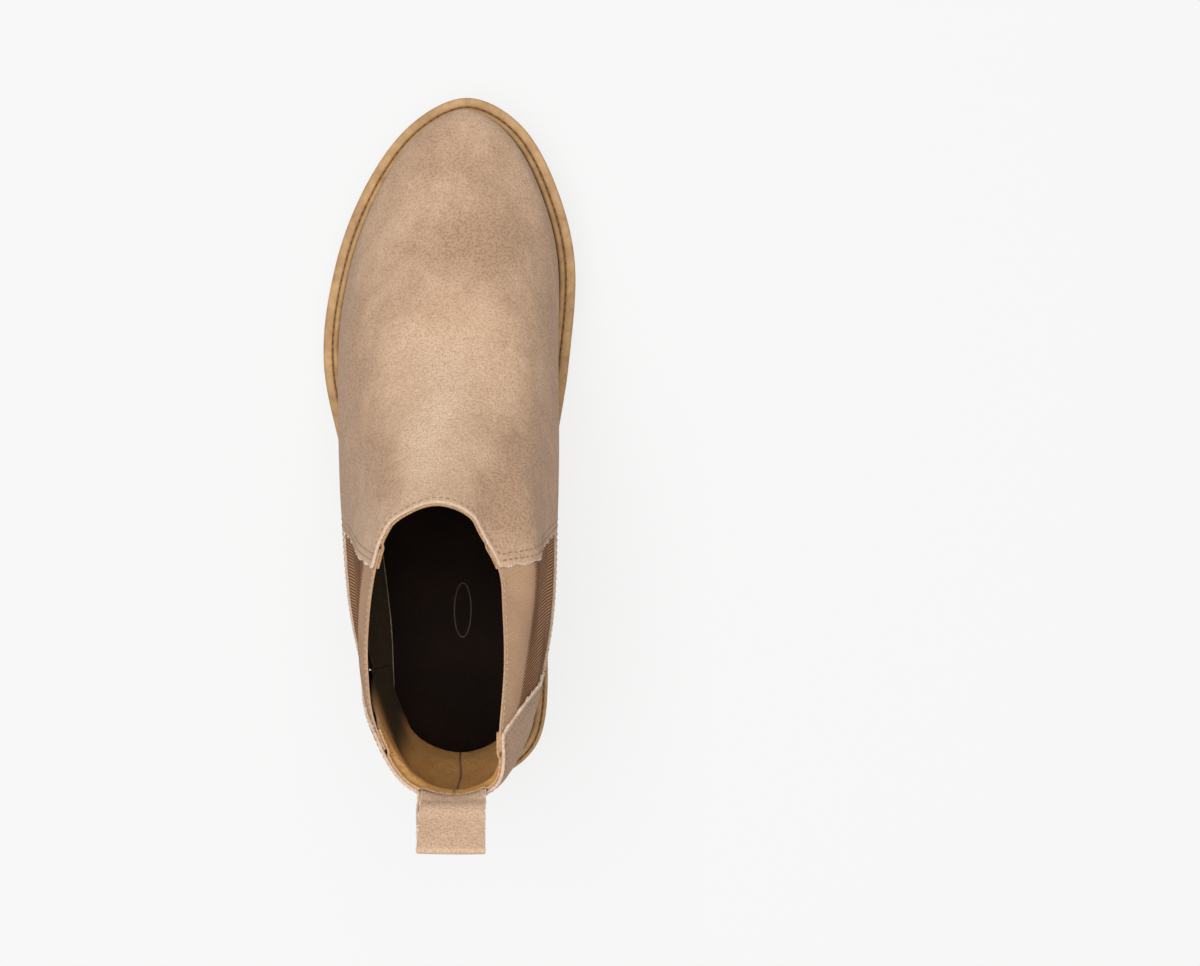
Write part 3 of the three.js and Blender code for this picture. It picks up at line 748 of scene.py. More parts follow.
def sockFinish():
    f = Finish("darkShadedSockLeather", Roughness=0.8)
    f.shader.inputs["Specular IOR Level"].default_value = 0.08
    where = f.place()
    pebble = f.cells(where, 900.0)
    cloud = f.noise(where, 40.0, 3.0)
    colour = f.mix(f.remap(cloud, 0.3, 0.7), sockLook["deep"], sockLook["pale"])
    colour = f.mix(f.remap(pebble, 0.0, 0.5, 0.3, 0.0), colour, sockLook["pore"])
    return f.done(colour, f.remap(cloud, 0.3, 0.7, 0.72, 0.9), f.bump(pebble, 0.0003, 0.6))


def plainFinish(name, pale, deep, scale, rough, metal=0.0, depth=0.0003, gloss=0.5):
    f = Finish(name, Roughness=rough, Metallic=metal, Specular_IOR_Level=gloss)
    where = f.place()
    fleck = f.noise(where, scale, 4.0, 0.65)
    chips = f.cells(where, scale * 0.5)
    colour = f.mix(f.remap(fleck, 0.3, 0.7), deep, pale)
    colour = f.mix(f.remap(chips, 0.0, 0.4, 0.4, 0.0), colour, deep)
    roughness = f.remap(fleck, 0.3, 0.7, rough - 0.1, rough + 0.1)
    return f.done(colour, roughness, f.bump(f.sum(fleck, chips, 0.5), depth, 0.5))


suede = suedeFinish("brushedSuede")
tabSuede = suedeFinish("brushedSuedeTab", useUv=True)
cutEdge = rawEdgeFinish()
looseFibre = fibreFinish("looseSuedeFibre", shade(246, 234, 220), shade(214, 188, 162))
seamThread = threadFinish("taupeSeamThread", shade(174, 138, 110), shade(126, 94, 72))
paleThread = threadFinish("paleHemThread", shade(214, 190, 164), shade(168, 136, 108))
weltThread = threadFinish("goldenWeltThread", shade(176, 128, 70), shade(104, 68, 36))
liningThread = threadFinish("tanLiningThread", shade(190, 136, 84), shade(128, 86, 48))
elastic = elasticFinish()
fleece = fleeceFinish()
weltRubber = rubberFinish("gumWelt", shade(194, 156, 106), shade(156, 117, 72))
soleRubber = rubberFinish("gumOutsole", shade(178, 138, 92), shade(160, 119, 75), 0.6)
sockLeather = sockFinish()
# painted shade: the elastic's backing, its own dark colour made near-black for the shade inside the boot
shadedInnerKnit = plainFinish("darkShadedInnerKnit", shade(17, 12, 9), shade(7, 5, 4), 700.0, 0.95, gloss=0.04)
print("finishes mixed")


# vamp
vampCut = {
    "columns": 150,
    "rowsBelow": 26,
    "rowsAbove": 64,
    "thick": 1.3,
    "lap": 0.25,  # from the seam line back to the cut edge
    "rawEdge": 0.34,
    "ragged": 0.22,  # how far the cut edge wanders
    "rows": (2.2, 4.6),  # the two stitch rows, in from the edge
    "collarRow": 2.2,
    "collarFray": 0.32,
    "spotShare": 0.85,
}
# shares of the way across, and levels, packed close beside the cut edges
edgeSteps = np.array([0, 0.0009, 0.002, 0.0034, 0.0055, 0.009, 0.015])
rimLevels = np.array([0.004, 0.011, 0.02, 0.032, 0.05, 0.08])


def ragged(level, size, seed):
    # three waves out of step: how often they come to a level, and how high they are
    waves = ((37, 1.0), (91, 0.8), (223, 0.6))
    total = sum(high * np.sin(level * often + seed * (k + 1)) for k, (often, high) in enumerate(waves))
    return size * total / sum(high for _, high in waves)


def frayed(station, toCollar):
    return ragged(station, vampCut["collarFray"], 2.0) * np.exp(-((toCollar / 1.2) ** 2))


def mmToStation(level, station):
    hop = np.linalg.norm(upperAt(station + nudge, level) - upperAt(station - nudge, level), axis=1)
    return 2 * nudge / hop


# where the nap is brushed dark or pale, with painted highlight on the drape's ridge and painted shade in its
# hollows
napAndShadeSpots = [
    # x, y, half length, half width, turn, amount
    (-12, -78, 10, 24, 8, -0.5),
    (-26, -58, 24, 8, 30, -0.3),
    (16, -60, 30, 9, -18, -0.22),
    (-4, -112, 18, 24, 0, -0.32),
    (39, -25, 55, 8, 0, -0.5),
    (0, 2, 30, 10, -8, 0.8),
    (-3, -38, 16, 20, -8, 0.3),
    (-34, 8, 26, 6, -22, -0.4),
    (-24, 12, 16, 7, -20, -0.35),
    (-31, 36, 14, 9, 0, -0.4),
    (16, 11, 14, 8, 12, -0.3),
    (24, 4, 30, 8, 12, -0.22),
    (-40, -40, 40, 7, -4, -0.3),
    (33, -30, 50, 8, 6, -0.12),
    (-22, -92, 8, 12, -30, -0.2),
    (8, -92, 10, 10, 40, 0.15),
]


def napAndShadeAt(p):
    return sum(row[5] * blob(p, *row[:5]) for row in napAndShadeSpots)


def paintedFlankShade(inward):
    return 0.36 * eased(1 + inward[:, 2] * 1.1)  # painted shade: the steep sides are painted darker, as if less light reached them


def rowOfStations(start, stop, steps):
    return start[:, None] + (stop - start)[:, None] * steps[None, :]


def gridOf(stations, levels):
    return np.stack([stations, np.broadcast_to(levels[:, None], stations.shape)], -1)


spread = np.concatenate([edgeSteps, np.linspace(0.022, 0.978, vampCut["columns"]), 1 - edgeSteps[::-1]])
wingSpread = np.concatenate([[0, 0.004, 0.009, 0.016, 0.026, 0.05], np.linspace(0.09, 1, 22)])
levelsBelow = np.concatenate(
    [[0, 0.02], np.linspace(0.1, 2.88, vampCut["rowsBelow"]), goreLevel - rimLevels[::-1], [goreLevel]]
)
levelsAbove = np.concatenate(
    [
        [goreLevel],
        goreLevel + rimLevels,
        np.linspace(3.12, 6.88, vampCut["rowsAbove"]),
        topLevel - rimLevels[::-1],
        [topLevel],
    ]
)
windowLevels = np.linspace(goreLevel, topLevel, 90)


def seamStations(levels, medial, line, shift, wander=0.0, seed=0.0):
    s = stationAt(levels, medial, lambda z: line(z) + shift)
    return s + ragged(levels, wander, seed) * mmToStation(levels, s if medial else -s)


def vampGrids(wander, gap):
    frontM, frontL = (seamStations(levelsAbove, m, frontSeam, -gap, wander, 1 + m) for m in (True, False))
    rearM, rearL = (seamStations(levelsBelow, m, rearSeam, -gap) for m in (True, False))
    shoulderM, shoulderL = (np.full(len(levelsBelow), front[0]) for front in (frontM, frontL))
    above = gridOf(rowOfStations(-frontL, frontM, spread), levelsAbove)
    below = gridOf(rowOfStations(-shoulderL, shoulderM, spread), levelsBelow)
    wingL = gridOf(rowOfStations(-rearL, -shoulderL, wingSpread), levelsBelow)
    wingM = gridOf(rowOfStations(shoulderM, rearM, 1 - wingSpread[::-1]), levelsBelow)
    return [above, below, wingL, wingM]


def sideGrid(front, back, steps, levels, medial):
    stations = rowOfStations(front, back, steps)
    return gridOf(stations if medial else -stations[:, ::-1], levels)


def skinLine(stations, levels, spacing=0.4):
    return resampled(upperAt(stations, levels), spacing)


def windowEdge(medial, sign, line, shift):
    return skinLine(sign * seamStations(windowLevels, medial, line, shift), windowLevels)


def stitchedDip(edge, rows, deep=0.16):
    return -deep * sum(np.exp(-(((edge - row) / 0.55) ** 2)) for row in rows)


def rubbed(toCollar, collarShare, toSeam, seamShare):
    # the nap is paler along the cut edges
    return collarShare * np.exp(-toCollar / 1.5) + seamShare * np.exp(-toSeam / 1.2)


corners, quads = joinGrids(vampGrids(vampCut["ragged"], vampCut["lap"]))
surface, inward = skinAt(corners[:, 0], corners[:, 1])
seamEdges = [windowEdge(medial, sign, frontSeam, -vampCut["lap"]) for _, medial, sign in bothSides]
toSeam = distanceTo(surface, np.concatenate(seamEdges))
toCollar = distanceTo(surface, skinLine(np.linspace(-5, 5, 200), topLevel))
surface[:, 2] += frayed(corners[:, 0], toCollar)
proud = drapeAt(surface, corners[:, 1])
proud += stitchedDip(toSeam, vampCut["rows"]) + stitchedDip(toCollar, (vampCut["collarRow"],), 0.12)
# tone: nap patches and paler rubbed edges, with painted highlight and shade from the spots and the darker
# flanks
tone = vampCut["spotShare"] * napAndShadeAt(surface) - paintedFlankShade(inward) + rubbed(toCollar, 0.25, toSeam, 0.12)
vamp = closedSheet(
    "vamp_suede", surface, inward, quads, 0.0, vampCut["thick"], [suede, cutEdge], vampCut["rawEdge"],
    tone=tone, proud=proud,
)
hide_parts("vamp")
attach(vamp, "boot")
print("vamp cut,", len(quads), "faces a side")


# quarters
quarterCut = {
    "columns": 46,
    "thick": 1.3,
    "ragged": 0.45,
    "rawEdge": 0.4,
    "rows": (2.4, 4.8),
    "backRow": 1.8,
    "backGap": 0.02,  # in stations
    # painted shade: the quarters are painted darker all over
    "tone": -0.5,
}
quarterLevels = np.concatenate([levelsBelow, levelsAbove[1:]])
quarterSpread = np.concatenate(
    [
        [0, 0.003, 0.007, 0.012, 0.02, 0.034],
        np.linspace(0.06, 0.965, quarterCut["columns"]),
        [0.98, 0.99, 0.996, 1],
    ]
)
quarterBack = backStation - quarterCut["backGap"]
wander = np.where(quarterLevels > goreLevel, quarterCut["ragged"], 0)
for side, medial, sign in bothSides:
    front = seamStations(quarterLevels, medial, rearSeam, vampCut["lap"], wander, 5 + medial)
    back = np.full(len(front), quarterBack)
    corners, quads = joinGrids([sideGrid(front, back, quarterSpread, quarterLevels, medial)])
    surface, inward = skinAt(corners[:, 0], corners[:, 1])
    toSeam = distanceTo(surface, windowEdge(medial, sign, rearSeam, vampCut["lap"]))
    toCollar = distanceTo(surface, skinLine(sign * np.linspace(5, backStation, 120), topLevel))
    backLine = skinLine(sign * np.full(80, quarterBack), np.linspace(0, topLevel, 80), 0.6)
    toBack = distanceTo(surface, backLine)
    surface[:, 2] += frayed(corners[:, 0], toCollar)
    proud = stitchedDip(toSeam, quarterCut["rows"]) + stitchedDip(toCollar, (vampCut["collarRow"],), 0.12)
    proud += stitchedDip(toBack, (quarterCut["backRow"],), 0.12)
    tone = quarterCut["tone"] - paintedFlankShade(inward) + rubbed(toCollar, 0.3, toSeam, 0.2)
    quarter = closedSheet(
        "quarter_" + side + "_suede", surface, inward, quads, 0.0, quarterCut["thick"], [suede, cutEdge],
        quarterCut["rawEdge"], tone=tone, proud=proud,
    )
    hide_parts("quarter_" + side)
    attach(quarter, "boot")
print("quarters cut")


# gores
goreWeave = {
    "ribHigh": 0.14,
    "perRib": 4,  # columns of faces
    "outer": 1.36,
    "thick": 0.85,
    "tuck": 7.0,  # how far it runs on behind the leather
    "foldLevel": 6.0,  # where the smooth band starts; above it the elastic is painted paler, partly as painted light
    "foldDeep": 0.2,
    "levelLong": 20,  # millimetres to a level, near enough
}
goreLevels = np.concatenate([np.linspace(2.72, 6.9, 54), topLevel - rimLevels[:5][::-1], [topLevel]])
middle = len(goreLevels) // 2
for side, medial, sign in bothSides:
    front = seamStations(goreLevels, medial, frontSeam, -goreWeave["tuck"])
    rear = seamStations(goreLevels, medial, rearSeam, goreWeave["tuck"])
    hoop = upperAt(sign * between(front[middle], rear[middle], np.linspace(0, 1, 60)), goreLevels[middle])
    ribs = int(lengthsAlong(hoop)[-1] / elasticLook["pitch"])
    steps = np.linspace(0, 1, ribs * goreWeave["perRib"] + 1)
    corners, quads = joinGrids([sideGrid(front, rear, steps, goreLevels, medial)])
    surface, inward = skinAt(corners[:, 0], corners[:, 1])
    levelFront = np.interp(corners[:, 1], goreLevels, front)
    levelRear = np.interp(corners[:, 1], goreLevels, rear)
    across = (np.abs(corners[:, 0]) - levelFront) / (levelRear - levelFront)
    overFold = corners[:, 1] - goreWeave["foldLevel"]
    band = eased((overFold + 0.06) / 0.12)
    proud = goreWeave["ribHigh"] * np.cos(across * ribs * 2 * math.pi) * (1 - 0.85 * band)
    proud -= goreWeave["foldDeep"] * np.exp(-((overFold / 0.05) ** 2))
    uv = np.stack([across * ribs * elasticLook["pitch"], corners[:, 1] * goreWeave["levelLong"]], 1)
    gore = closedSheet(
        "gore_" + side + "_elastic", surface, inward, quads,
        goreWeave["outer"], goreWeave["outer"] + goreWeave["thick"], [elastic, shadedInnerKnit],
        uv=uv, tone=band, proud=proud, backing=1,
    )
    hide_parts("gore_" + side)
    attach(gore, "boot")
print("gores woven")


# linings
liningCut = {
    "outer": 3.3,
    "thick": 1.0,
    "join": 0.03,
    "backGap": 0.002,  # in stations
    "closeUnderLeather": 1.33,
    "closeUnderGore": 2.24,
    "goreReach": goreWeave["tuck"] + 0.7,
    "blend": 1.6,
    "underTab": 11.65,
    "tabBlend": 1.4,
    "heelFrom": 88.0,  # where the heel cup begins, and where the fleece stops being painted into shade
    "cup": 5.0,
    "cupRun": 26.0,
    "paintedShade": (2.0, 90.0, 30.0, 34.0),  # painted shade: the dark oval down in the heel cup: x, y, half width, half length
    "rimLitReach": 6.0,
}


def liningDepth(p, level):
    # under the collar the lining comes out to meet whatever layer lies over it
    x, y, z = p.T
    ahead, behind = frontSeam(z) - liningCut["goreReach"] - y, y - rearSeam(z) - liningCut["goreReach"]
    underGore = 1 - eased(np.maximum(ahead, behind) / liningCut["blend"])
    fromTab = np.abs(x - upperAt(backStation, topLevel)[0, 0]) - liningCut["underTab"]
    underTab = np.where(y > 90, 1 - eased(fromTab / liningCut["tabBlend"]), 0)
    thin, thick = liningCut["closeUnderLeather"], liningCut["closeUnderGore"]
    close = between(thin, thick, np.maximum(underGore, underTab))
    heelCup = liningCut["cup"] * eased((y - liningCut["heelFrom"]) / liningCut["cupRun"])
    heelCup = heelCup * eased((level - 1.02) / 0.22) * (1 - eased((level - 1.3) / 3.6))
    return between(liningCut["outer"], close, eased((level - 6.35) / 0.5)) + heelCup


def makeLining(name, grids, node):
    corners, quads = joinGrids(grids)
    surface, inward = skinAt(corners[:, 0], corners[:, 1])
    outer = liningDepth(surface, corners[:, 1])
    proud = drapeAt(surface, corners[:, 1])
    rim = distanceTo(surface, skinLine(np.linspace(0, stationCount, 600), topLevel, 0.5))
    x, y, z = surface.T
    # painted shade: the lining goes near-black down inside the boot, except up the heel and close to the
    # collar, where it is painted lit
    shadeX, shadeY, shadeWide, shadeLong = liningCut["paintedShade"]
    paintedShade = 1 - eased((((x - shadeX) / shadeWide) ** 2 + ((y - shadeY) / shadeLong) ** 2 - 0.8) / 0.4)
    lit = eased((y - liningCut["heelFrom"]) / 12) * (1 - paintedShade * (1 - eased((z - 95) / 40)))
    lit = np.maximum(lit, 0.85 * np.exp(-((rim / liningCut["rimLitReach"]) ** 2)))
    inner = outer + liningCut["thick"]
    piece = closedSheet(name, surface, inward, quads, outer, inner, [fleece], tone=1 - lit, proud=proud)
    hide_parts(node)
    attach(piece, "boot")


makeLining("vamp_lining_fleece", vampGrids(0.0, liningCut["join"]), "vamp_lining")
for side, medial, sign in bothSides:
    front = seamStations(quarterLevels, medial, rearSeam, liningCut["join"])
    back = np.full(len(front), backStation - liningCut["backGap"])
    grid = sideGrid(front, back, quarterSpread, quarterLevels, medial)
    makeLining("quarter_lining_" + side + "_fleece", [grid], "quarter_lining_" + side)
print("linings in")


# sole and heel
def plate(name, rings, stations, material, breast=False):
    # rings run from the top edge down: (inset, height from y, lean of the breast)
    n = len(stations)
    layers = []
    for inset, heightOf, lean in rings:
        insets = inset(outlineAt(stations)[:, 1]) if callable(inset) else inset
        p = outlineAt(stations, insets)
        p[:, 2] = heightOf(p[:, 1])
        if breast:
            p[[0, -1], 1] += lean
        layers.append(p + centring)
    faces = []
    for i in range(len(layers) - 1):
        faces += ringQuads(i * n, (i + 1) * n, n)
    # each cap is laced from side to side
    pairs = [(j, n - 1 - j) for j in range(n // 2)]
    if not breast:
        pairs = [(j, (n - j) % n) for j in range(n // 2 + 1)]
    for base, flip in ((0, True), ((len(layers) - 1) * n, False)):
        for (a, b), (c, d) in zip(pairs, pairs[1:]):
            face = [base + k for k in dict.fromkeys((a, c, d, b))]
            faces.append(face[::-1] if flip else face)
    piece = meshPiece(name, np.concatenate(layers), faces, [material])
    squareUp(piece)
    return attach(piece, "boot")


def squareUp(piece):
    work = bmesh.new()
    work.from_mesh(piece.data)
    bmesh.ops.recalc_face_normals(work, faces=work.faces)
    work.to_mesh(piece.data)
    work.free()


edgeRound = ((0.0, 2.6), (0.0, 1.2), (0.02, 0.75), (0.3, 0.22), (0.8, 0.03), (1.5, 0.0))  # down, in


def addInset(inset, more):
    return (lambda y: inset(y) + more) if callable(inset) else inset + more


def wallAt(topOf, footOf, clear, share):
    return lambda y: between(topOf(y) - clear, footOf(y) + clear, share)


def roundedRings(inset, topOf, footOf, soft, leanFoot=0.0):
    rings, up = [], []
    for down, back in edgeRound:
        into = addInset(inset, back * soft)
        rings.append((into, lambda y, d=down: topOf(y) - d * soft, 0.0))
        up.append((into, lambda y, d=down: footOf(y) + d * soft, leanFoot))
    clear = edgeRound[-1][0] * soft
    for share in (0.3, 0.5, 0.7):
        rings.append((inset, wallAt(topOf, footOf, clear, share), leanFoot * share))
    return rings + up[::-1]


def flatAt(height):
    return lambda y: 0 * y + height


sole = {
    "steps": 400,
    "clearance": 0.3,
    "midsole": 4.5,
    "outsoleHeel": 6.0,
    "heelLength": 58.0,
    "heelSteps": 120,
    "breastLean": 4.0,
    "topPiece": 6.0,
    # how far each layer stands in from the midsole's line, and how soft its edges are
    "midsoleEdge": (0.2, 0.7),
    "outsoleEdge": (0.4, 0.6),
    "heelEdge": (1.0, 0.5),
    "topPieceEdge": (1.0, 0.7),
    "lugFrom": 20.0,  # behind the toe's tip
    "lugTo": 30.0,  # past the waist's start
    "lugPitch": 12.5,
    "lugGroove": 4.2,
    "lugShares": (0.62, 0.42),  # half widths at the ground and at the root
    "lugBelow": 3.0,
    "lugSlant": 0.3,
    "lugDepth": 4.0,
    "lugInner": 4.0,
    "lugOuter": 74.0,
}
soleRound = np.linspace(0, stationCount, sole["steps"], endpoint=False)


def midsoleTop(y):
    return seatAt(y) - sole["clearance"]


def midsoleFoot(y):
    return midsoleTop(y) - sole["midsole"]


def outsoleTop(y):
    return midsoleFoot(y) - sole["clearance"]


def treadAt(y):
    heelTread = last["seat"][1] - sole["midsole"] - 2 * sole["clearance"] - sole["outsoleHeel"]
    return springAt(y) + heelTread * waistAt(y)


inset, soft = sole["midsoleEdge"]
midsoleRings = roundedRings(inset, midsoleTop, midsoleFoot, soft)
midsole = plate("midsole_gum", midsoleRings, soleRound, weltRubber)
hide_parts("midsole")
inset, soft = sole["outsoleEdge"]
outsoleRings = roundedRings(inset, outsoleTop, treadAt, soft)
outsole = plate("outsole_gum", outsoleRings, soleRound, soleRubber)
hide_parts("outsole")

# the tread's grooves are cut by slanting bars, wider at the ground
groovePoints, grooveFaces = [], []
barFaces = ((0, 1, 2, 3), (7, 6, 5, 4), (0, 4, 5, 1), (1, 5, 6, 2), (2, 6, 7, 3), (3, 7, 4, 0))
inner, outer = sole["lugInner"], sole["lugOuter"]
lugFrom, lugTo = sole["lugFrom"] - last["soleLength"], sole["lugTo"] - last["waist"][0]
for y in np.arange(lugFrom, lugTo, sole["lugPitch"]):
    for side in (-1, 1):
        slant = side * sole["lugSlant"]
        base = len(groovePoints)
        for z, wide in zip((-sole["lugBelow"], sole["lugDepth"]), sole["lugShares"]):
            for x, w in ((inner, -wide), (outer, -wide), (outer, wide), (inner, wide)):
                px, py = side * x, w * sole["lugGroove"]
                barX = px * math.cos(slant) - py * math.sin(slant) + last["middleX"][0]
                barY = px * math.sin(slant) + py * math.cos(slant) + y
                groovePoints.append(np.array([barX, barY, z + springAt(y)]) + centring)
        grooveFaces += [[base + k for k in face] for face in barFaces]
cutter = meshPiece("lugCutter", groovePoints, grooveFaces, [soleRubber], smooth=False)
squareUp(cutter)
lugs = outsole.modifiers.new("lugs", "BOOLEAN")
lugs.operation, lugs.object, lugs.solver = "DIFFERENCE", cutter, "EXACT"
evaluated = bpy.data.meshes.new_from_object(outsole.evaluated_get(bpy.context.evaluated_depsgraph_get()))
outsole.modifiers.clear()
outsole.data = evaluated
bpy.data.objects.remove(cutter)
outsole.data.set_sharp_from_angle(angle=math.radians(38))



def heelStation(y):
    stations = np.linspace(backStation / 2, backStation, 400)
    return np.interp(y, outlineAt(stations)[:, 1], stations)


def heelPlate(name, y, rings):
    start = heelStation(y)
    stations = np.linspace(start, stationCount - start, sole["heelSteps"])
    return plate(name, rings, stations, soleRubber, breast=True)


def heelTop(y):
    return treadAt(y) - sole["clearance"]


heelFoot = flatAt(sole["topPiece"] + sole["clearance"])
inset, soft = sole["heelEdge"]
heelRings = roundedRings(inset, heelTop, heelFoot, soft, sole["breastLean"])
heel = heelPlate("heel_block_gum", -sole["heelLength"], heelRings)
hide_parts("heel_block")
inset, soft = sole["topPieceEdge"]
topRings = roundedRings(inset, flatAt(sole["topPiece"]), flatAt(0), soft)
topPiece = heelPlate("heel_top_piece_gum", -sole["heelLength"] + sole["breastLean"], topRings)
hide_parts("heel_top_piece")
print("sole cast")


# welt
welt = {"steps": 520, "band": 3.42, "groove": 2.15, "grooveMiddle": 2.98, "bead": 4.6}


def weltSection(reach):
    # out from the upper and up from the seat: outer wall, flat band, thread groove, bead
    def band(t):
        return between(welt["band"], reach - 0.32, t)

    return [
        (reach - 0.3, 0.0),
        (reach - 0.04, 0.25),
        (reach, 0.9),
        (reach, 1.6),
        (reach - 0.05, 2.2),
        (reach - 0.2, 2.7),
        (band(0.96), 2.94),
        (band(0.75), 3.04),
        (band(0.5), 3.1),
        (band(0.25), 3.08),
        (band(0.08), 3.02),
        (welt["band"] - 0.12, 2.86),
        (welt["band"] - 0.22, 2.5),
        (3.12, welt["groove"] + 0.06),
        (welt["grooveMiddle"], welt["groove"]),
        (2.84, welt["groove"] + 0.06),
        (2.74, 2.55),
        (2.68, 3.2),
        (2.58, 3.75),
        (2.36, 4.2),
        (2.0, 4.5),
        (1.5, welt["bead"]),
        (0.95, 4.5),
        (0.5, 4.15),
        (0.2, 3.6),
        (0.08, 2.6),
        (0.08, 0.0),
    ]


def ringPoint(station, out, rise):
    reach = weltReach(outlineAt(station)[:, 1])
    p = outlineAt(station, reach - out)
    p[:, 2] = seatAt(p[:, 1]) + rise
    return p + centring


weltStations = np.linspace(0, stationCount, welt["steps"], endpoint=False)
reachRound = weltReach(outlineAt(weltStations)[:, 1])
sections = np.array([weltSection(r) for r in reachRound])
sides = sections.shape[1]
weltPoints = [ringPoint(weltStations, sections[:, k, 0], sections[:, k, 1]) for k in range(sides)]
weltPoints = np.stack(weltPoints, 1).reshape(-1, 3)
weltFaces = []
for i in range(welt["steps"]):
    weltFaces += ringQuads(i * sides, ((i + 1) % welt["steps"]) * sides, sides)
soilAndShade = np.zeros(sides)
soilAndShade[:6] = (0.5, 0.45, 0.38, 0.3, 0.2, 0.1)  # painted shade up the outer wall
soilAndShade[11:19] = (0.1, 0.5, 0.8, 0.9, 0.8, 0.5, 0.2, 0.05)  # painted shade in the thread groove
soilAndShade[22:26] = (0.05, 0.2, 0.4, 0.6)  # painted shade down behind the bead
soilAndShade = {"soilAndShade": np.tile(soilAndShade, welt["steps"])}
weltPiece = meshPiece("welt_gum", weltPoints, weltFaces, [weltRubber], attributes=soilAndShade)
squareUp(weltPiece)
weltPiece.data.set_sharp_from_angle(angle=math.radians(60))
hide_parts("welt")
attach(weltPiece, "boot")

weltSeam = {"pitch": 3.2, "length": 2.4, "radius": 0.3, "raised": 0.42}
seamRise = welt["groove"] + weltSeam["raised"]
weltLine = ringPoint(np.linspace(0, stationCount, 1600), welt["grooveMiddle"], seamRise)
upward = np.tile([0.0, 0.0, 1.0], (len(weltLine), 1))
weltStitches = stitches("welt_stitches", [(weltLine, upward)], weltSeam, weltThread)
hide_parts("welt_thread")
print("welt laid and stitched")


# sock
sock = {
    "insetMore": 5.3,
    "rise": 4.9,
    "thick": 1.5,
    "markPlace": (-6.8, 66.0),
    "markHalf": (3.6, 11.0),  # half width and half length
    "markLine": 0.14,  # share of the half width
    "markSteps": 96,
}


def sockFoot(y):
    return seatAt(y) + sock["rise"]


def sockTop(y):
    return sockFoot(y) + sock["thick"]


sockRings = roundedRings(lambda y: weltReach(y) + sock["insetMore"], sockTop, sockFoot, 0.4)
sockPiece = plate("sock_leather", sockRings, soleRound, sockLeather)
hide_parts("sock_liner")
# the foil is dimmed to dark brown: partly wear, partly painted shade inside the boot
goldFoil = plainFinish("wornShadedGoldFoil", shade(84, 62, 36), shade(26, 18, 12), 900.0, 0.75)
markTurn = np.linspace(0, 2 * math.pi, sock["markSteps"], endpoint=False)
halfWide, halfLong = sock["markHalf"]
foil = []
for inset in (0, halfWide * sock["markLine"]):
    x = sock["markPlace"][0] + (halfWide - inset) * np.cos(markTurn)
    y = sock["markPlace"][1] + (halfLong - inset) * np.sin(markTurn)
    foil.append(np.stack([x, y, sockTop(y - centring[1]) + 0.04], 1))
foilFaces = ringQuads(0, sock["markSteps"], sock["markSteps"])
motif = meshPiece("sock_oval_mark", np.concatenate(foil), foilFaces, [goldFoil])
squareUp(motif)
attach(motif, "boot")
print("sock laid in")


# pull tab
tabCut = {
    "wide": 22.7,
    "long": 28.5,
    "leaf": 1.1,
    "rootLeaf": 0.42,
    "rootIn": 1.79,  # the root's middle, in from the suede's face
    "rootSpan": 9.0,
    "pivotIn": 2.3,
    "standoff": 2.0,
    "lean": 0.6,  # how far it leans back, in radians
    "slip": 1.5,  # how far the rear leaf lies off the front one
    "gape": 0.45,
    "hollow": (-0.34, 7.5, 2.4),  # bends of the strap: turn, height, half length
    "swell": (0.3, 11.5, 2.6),
    "creaseShade": (-0.35, 0.43, 0.06),  # painted shade along the crease: tone, share of the height, half width
    "rawEdge": 0.4,
    "step": 0.5,
    "restGap": 0.22,  # between the leaves
    "widen": 0.035,
    "cup": 0.5,
    "held": (2.5, 5.0),  # the bend runs from this far under the hinge line to this far over it
}


def hump(at, row):
    return row[0] * np.exp(-(((at - row[1]) / row[2]) ** 2))


pivot = skinAt(backStation, topLevel)
pivot = (pivot[0] + pivot[1] * tabCut["pivotIn"])[0] + np.array([0, 0, tabCut["standoff"]])
rootLevels = np.array([6.5, 6.65, 6.8, 6.92, 7.0])
rootSkin, rootInward = skinAt(backStation, rootLevels)
rootLine = rootSkin + rootInward * tabCut["rootIn"]
free = np.arange(tabCut["step"], tabCut["long"] - 1.2, tabCut["step"])
angle = between(0.1, tabCut["lean"] + 0.06, eased(free / 5.0))
angle += hump(free, tabCut["hollow"]) + hump(free, tabCut["swell"])
freeLine = pivot[1:] + np.cumsum(np.stack([np.sin(angle), np.cos(angle)], 1) * tabCut["step"], axis=0)
spine = np.concatenate([rootLine[:, 1:], pivot[None, 1:], freeLine])
spine = resampled(np.concatenate([np.zeros((len(spine), 1)), spine], 1), 0.3)[:, 1:]
for _ in range(6):  # eases the kink at the hinge line
    spine[1:-1] = (spine[:-2] + 2 * spine[1:-1] + spine[2:]) / 4
rise = lengthsAlong(spine)
wayUp = unit(np.gradient(spine, axis=0))
rearward = np.stack([wayUp[:, 1], -wayUp[:, 0]], 1)
loose = eased((rise - tabCut["rootSpan"]) / 6.0)
leafHalf = between(tabCut["rootLeaf"], tabCut["leaf"], loose) / 2
upFree = np.clip((rise - tabCut["rootSpan"]) / (rise[-1] - tabCut["rootSpan"]), 0, 1)
offset = leafHalf + 0.02 + loose * (tabCut["restGap"] + tabCut["gape"] * np.sin(np.pi * upFree))
foldTurn = np.linspace(0, math.pi, 13)[1:-1]
foldOut = np.cos(foldTurn)[:, None] * rearward[-1] + np.sin(foldTurn)[:, None] * wayUp[-1]
foldLine = spine[-1] + offset[-1] * foldOut
rearLeaf, frontLeaf = spine + rearward * offset[:, None], spine - rearward * offset[:, None]
line = np.concatenate([rearLeaf, foldLine, frontLeaf[::-1]])
outwards = np.concatenate([rearward, foldOut, -rearward[::-1]])
atFold = np.ones(len(foldLine))
halves = np.concatenate([leafHalf, atFold * leafHalf[-1], leafHalf[::-1]])
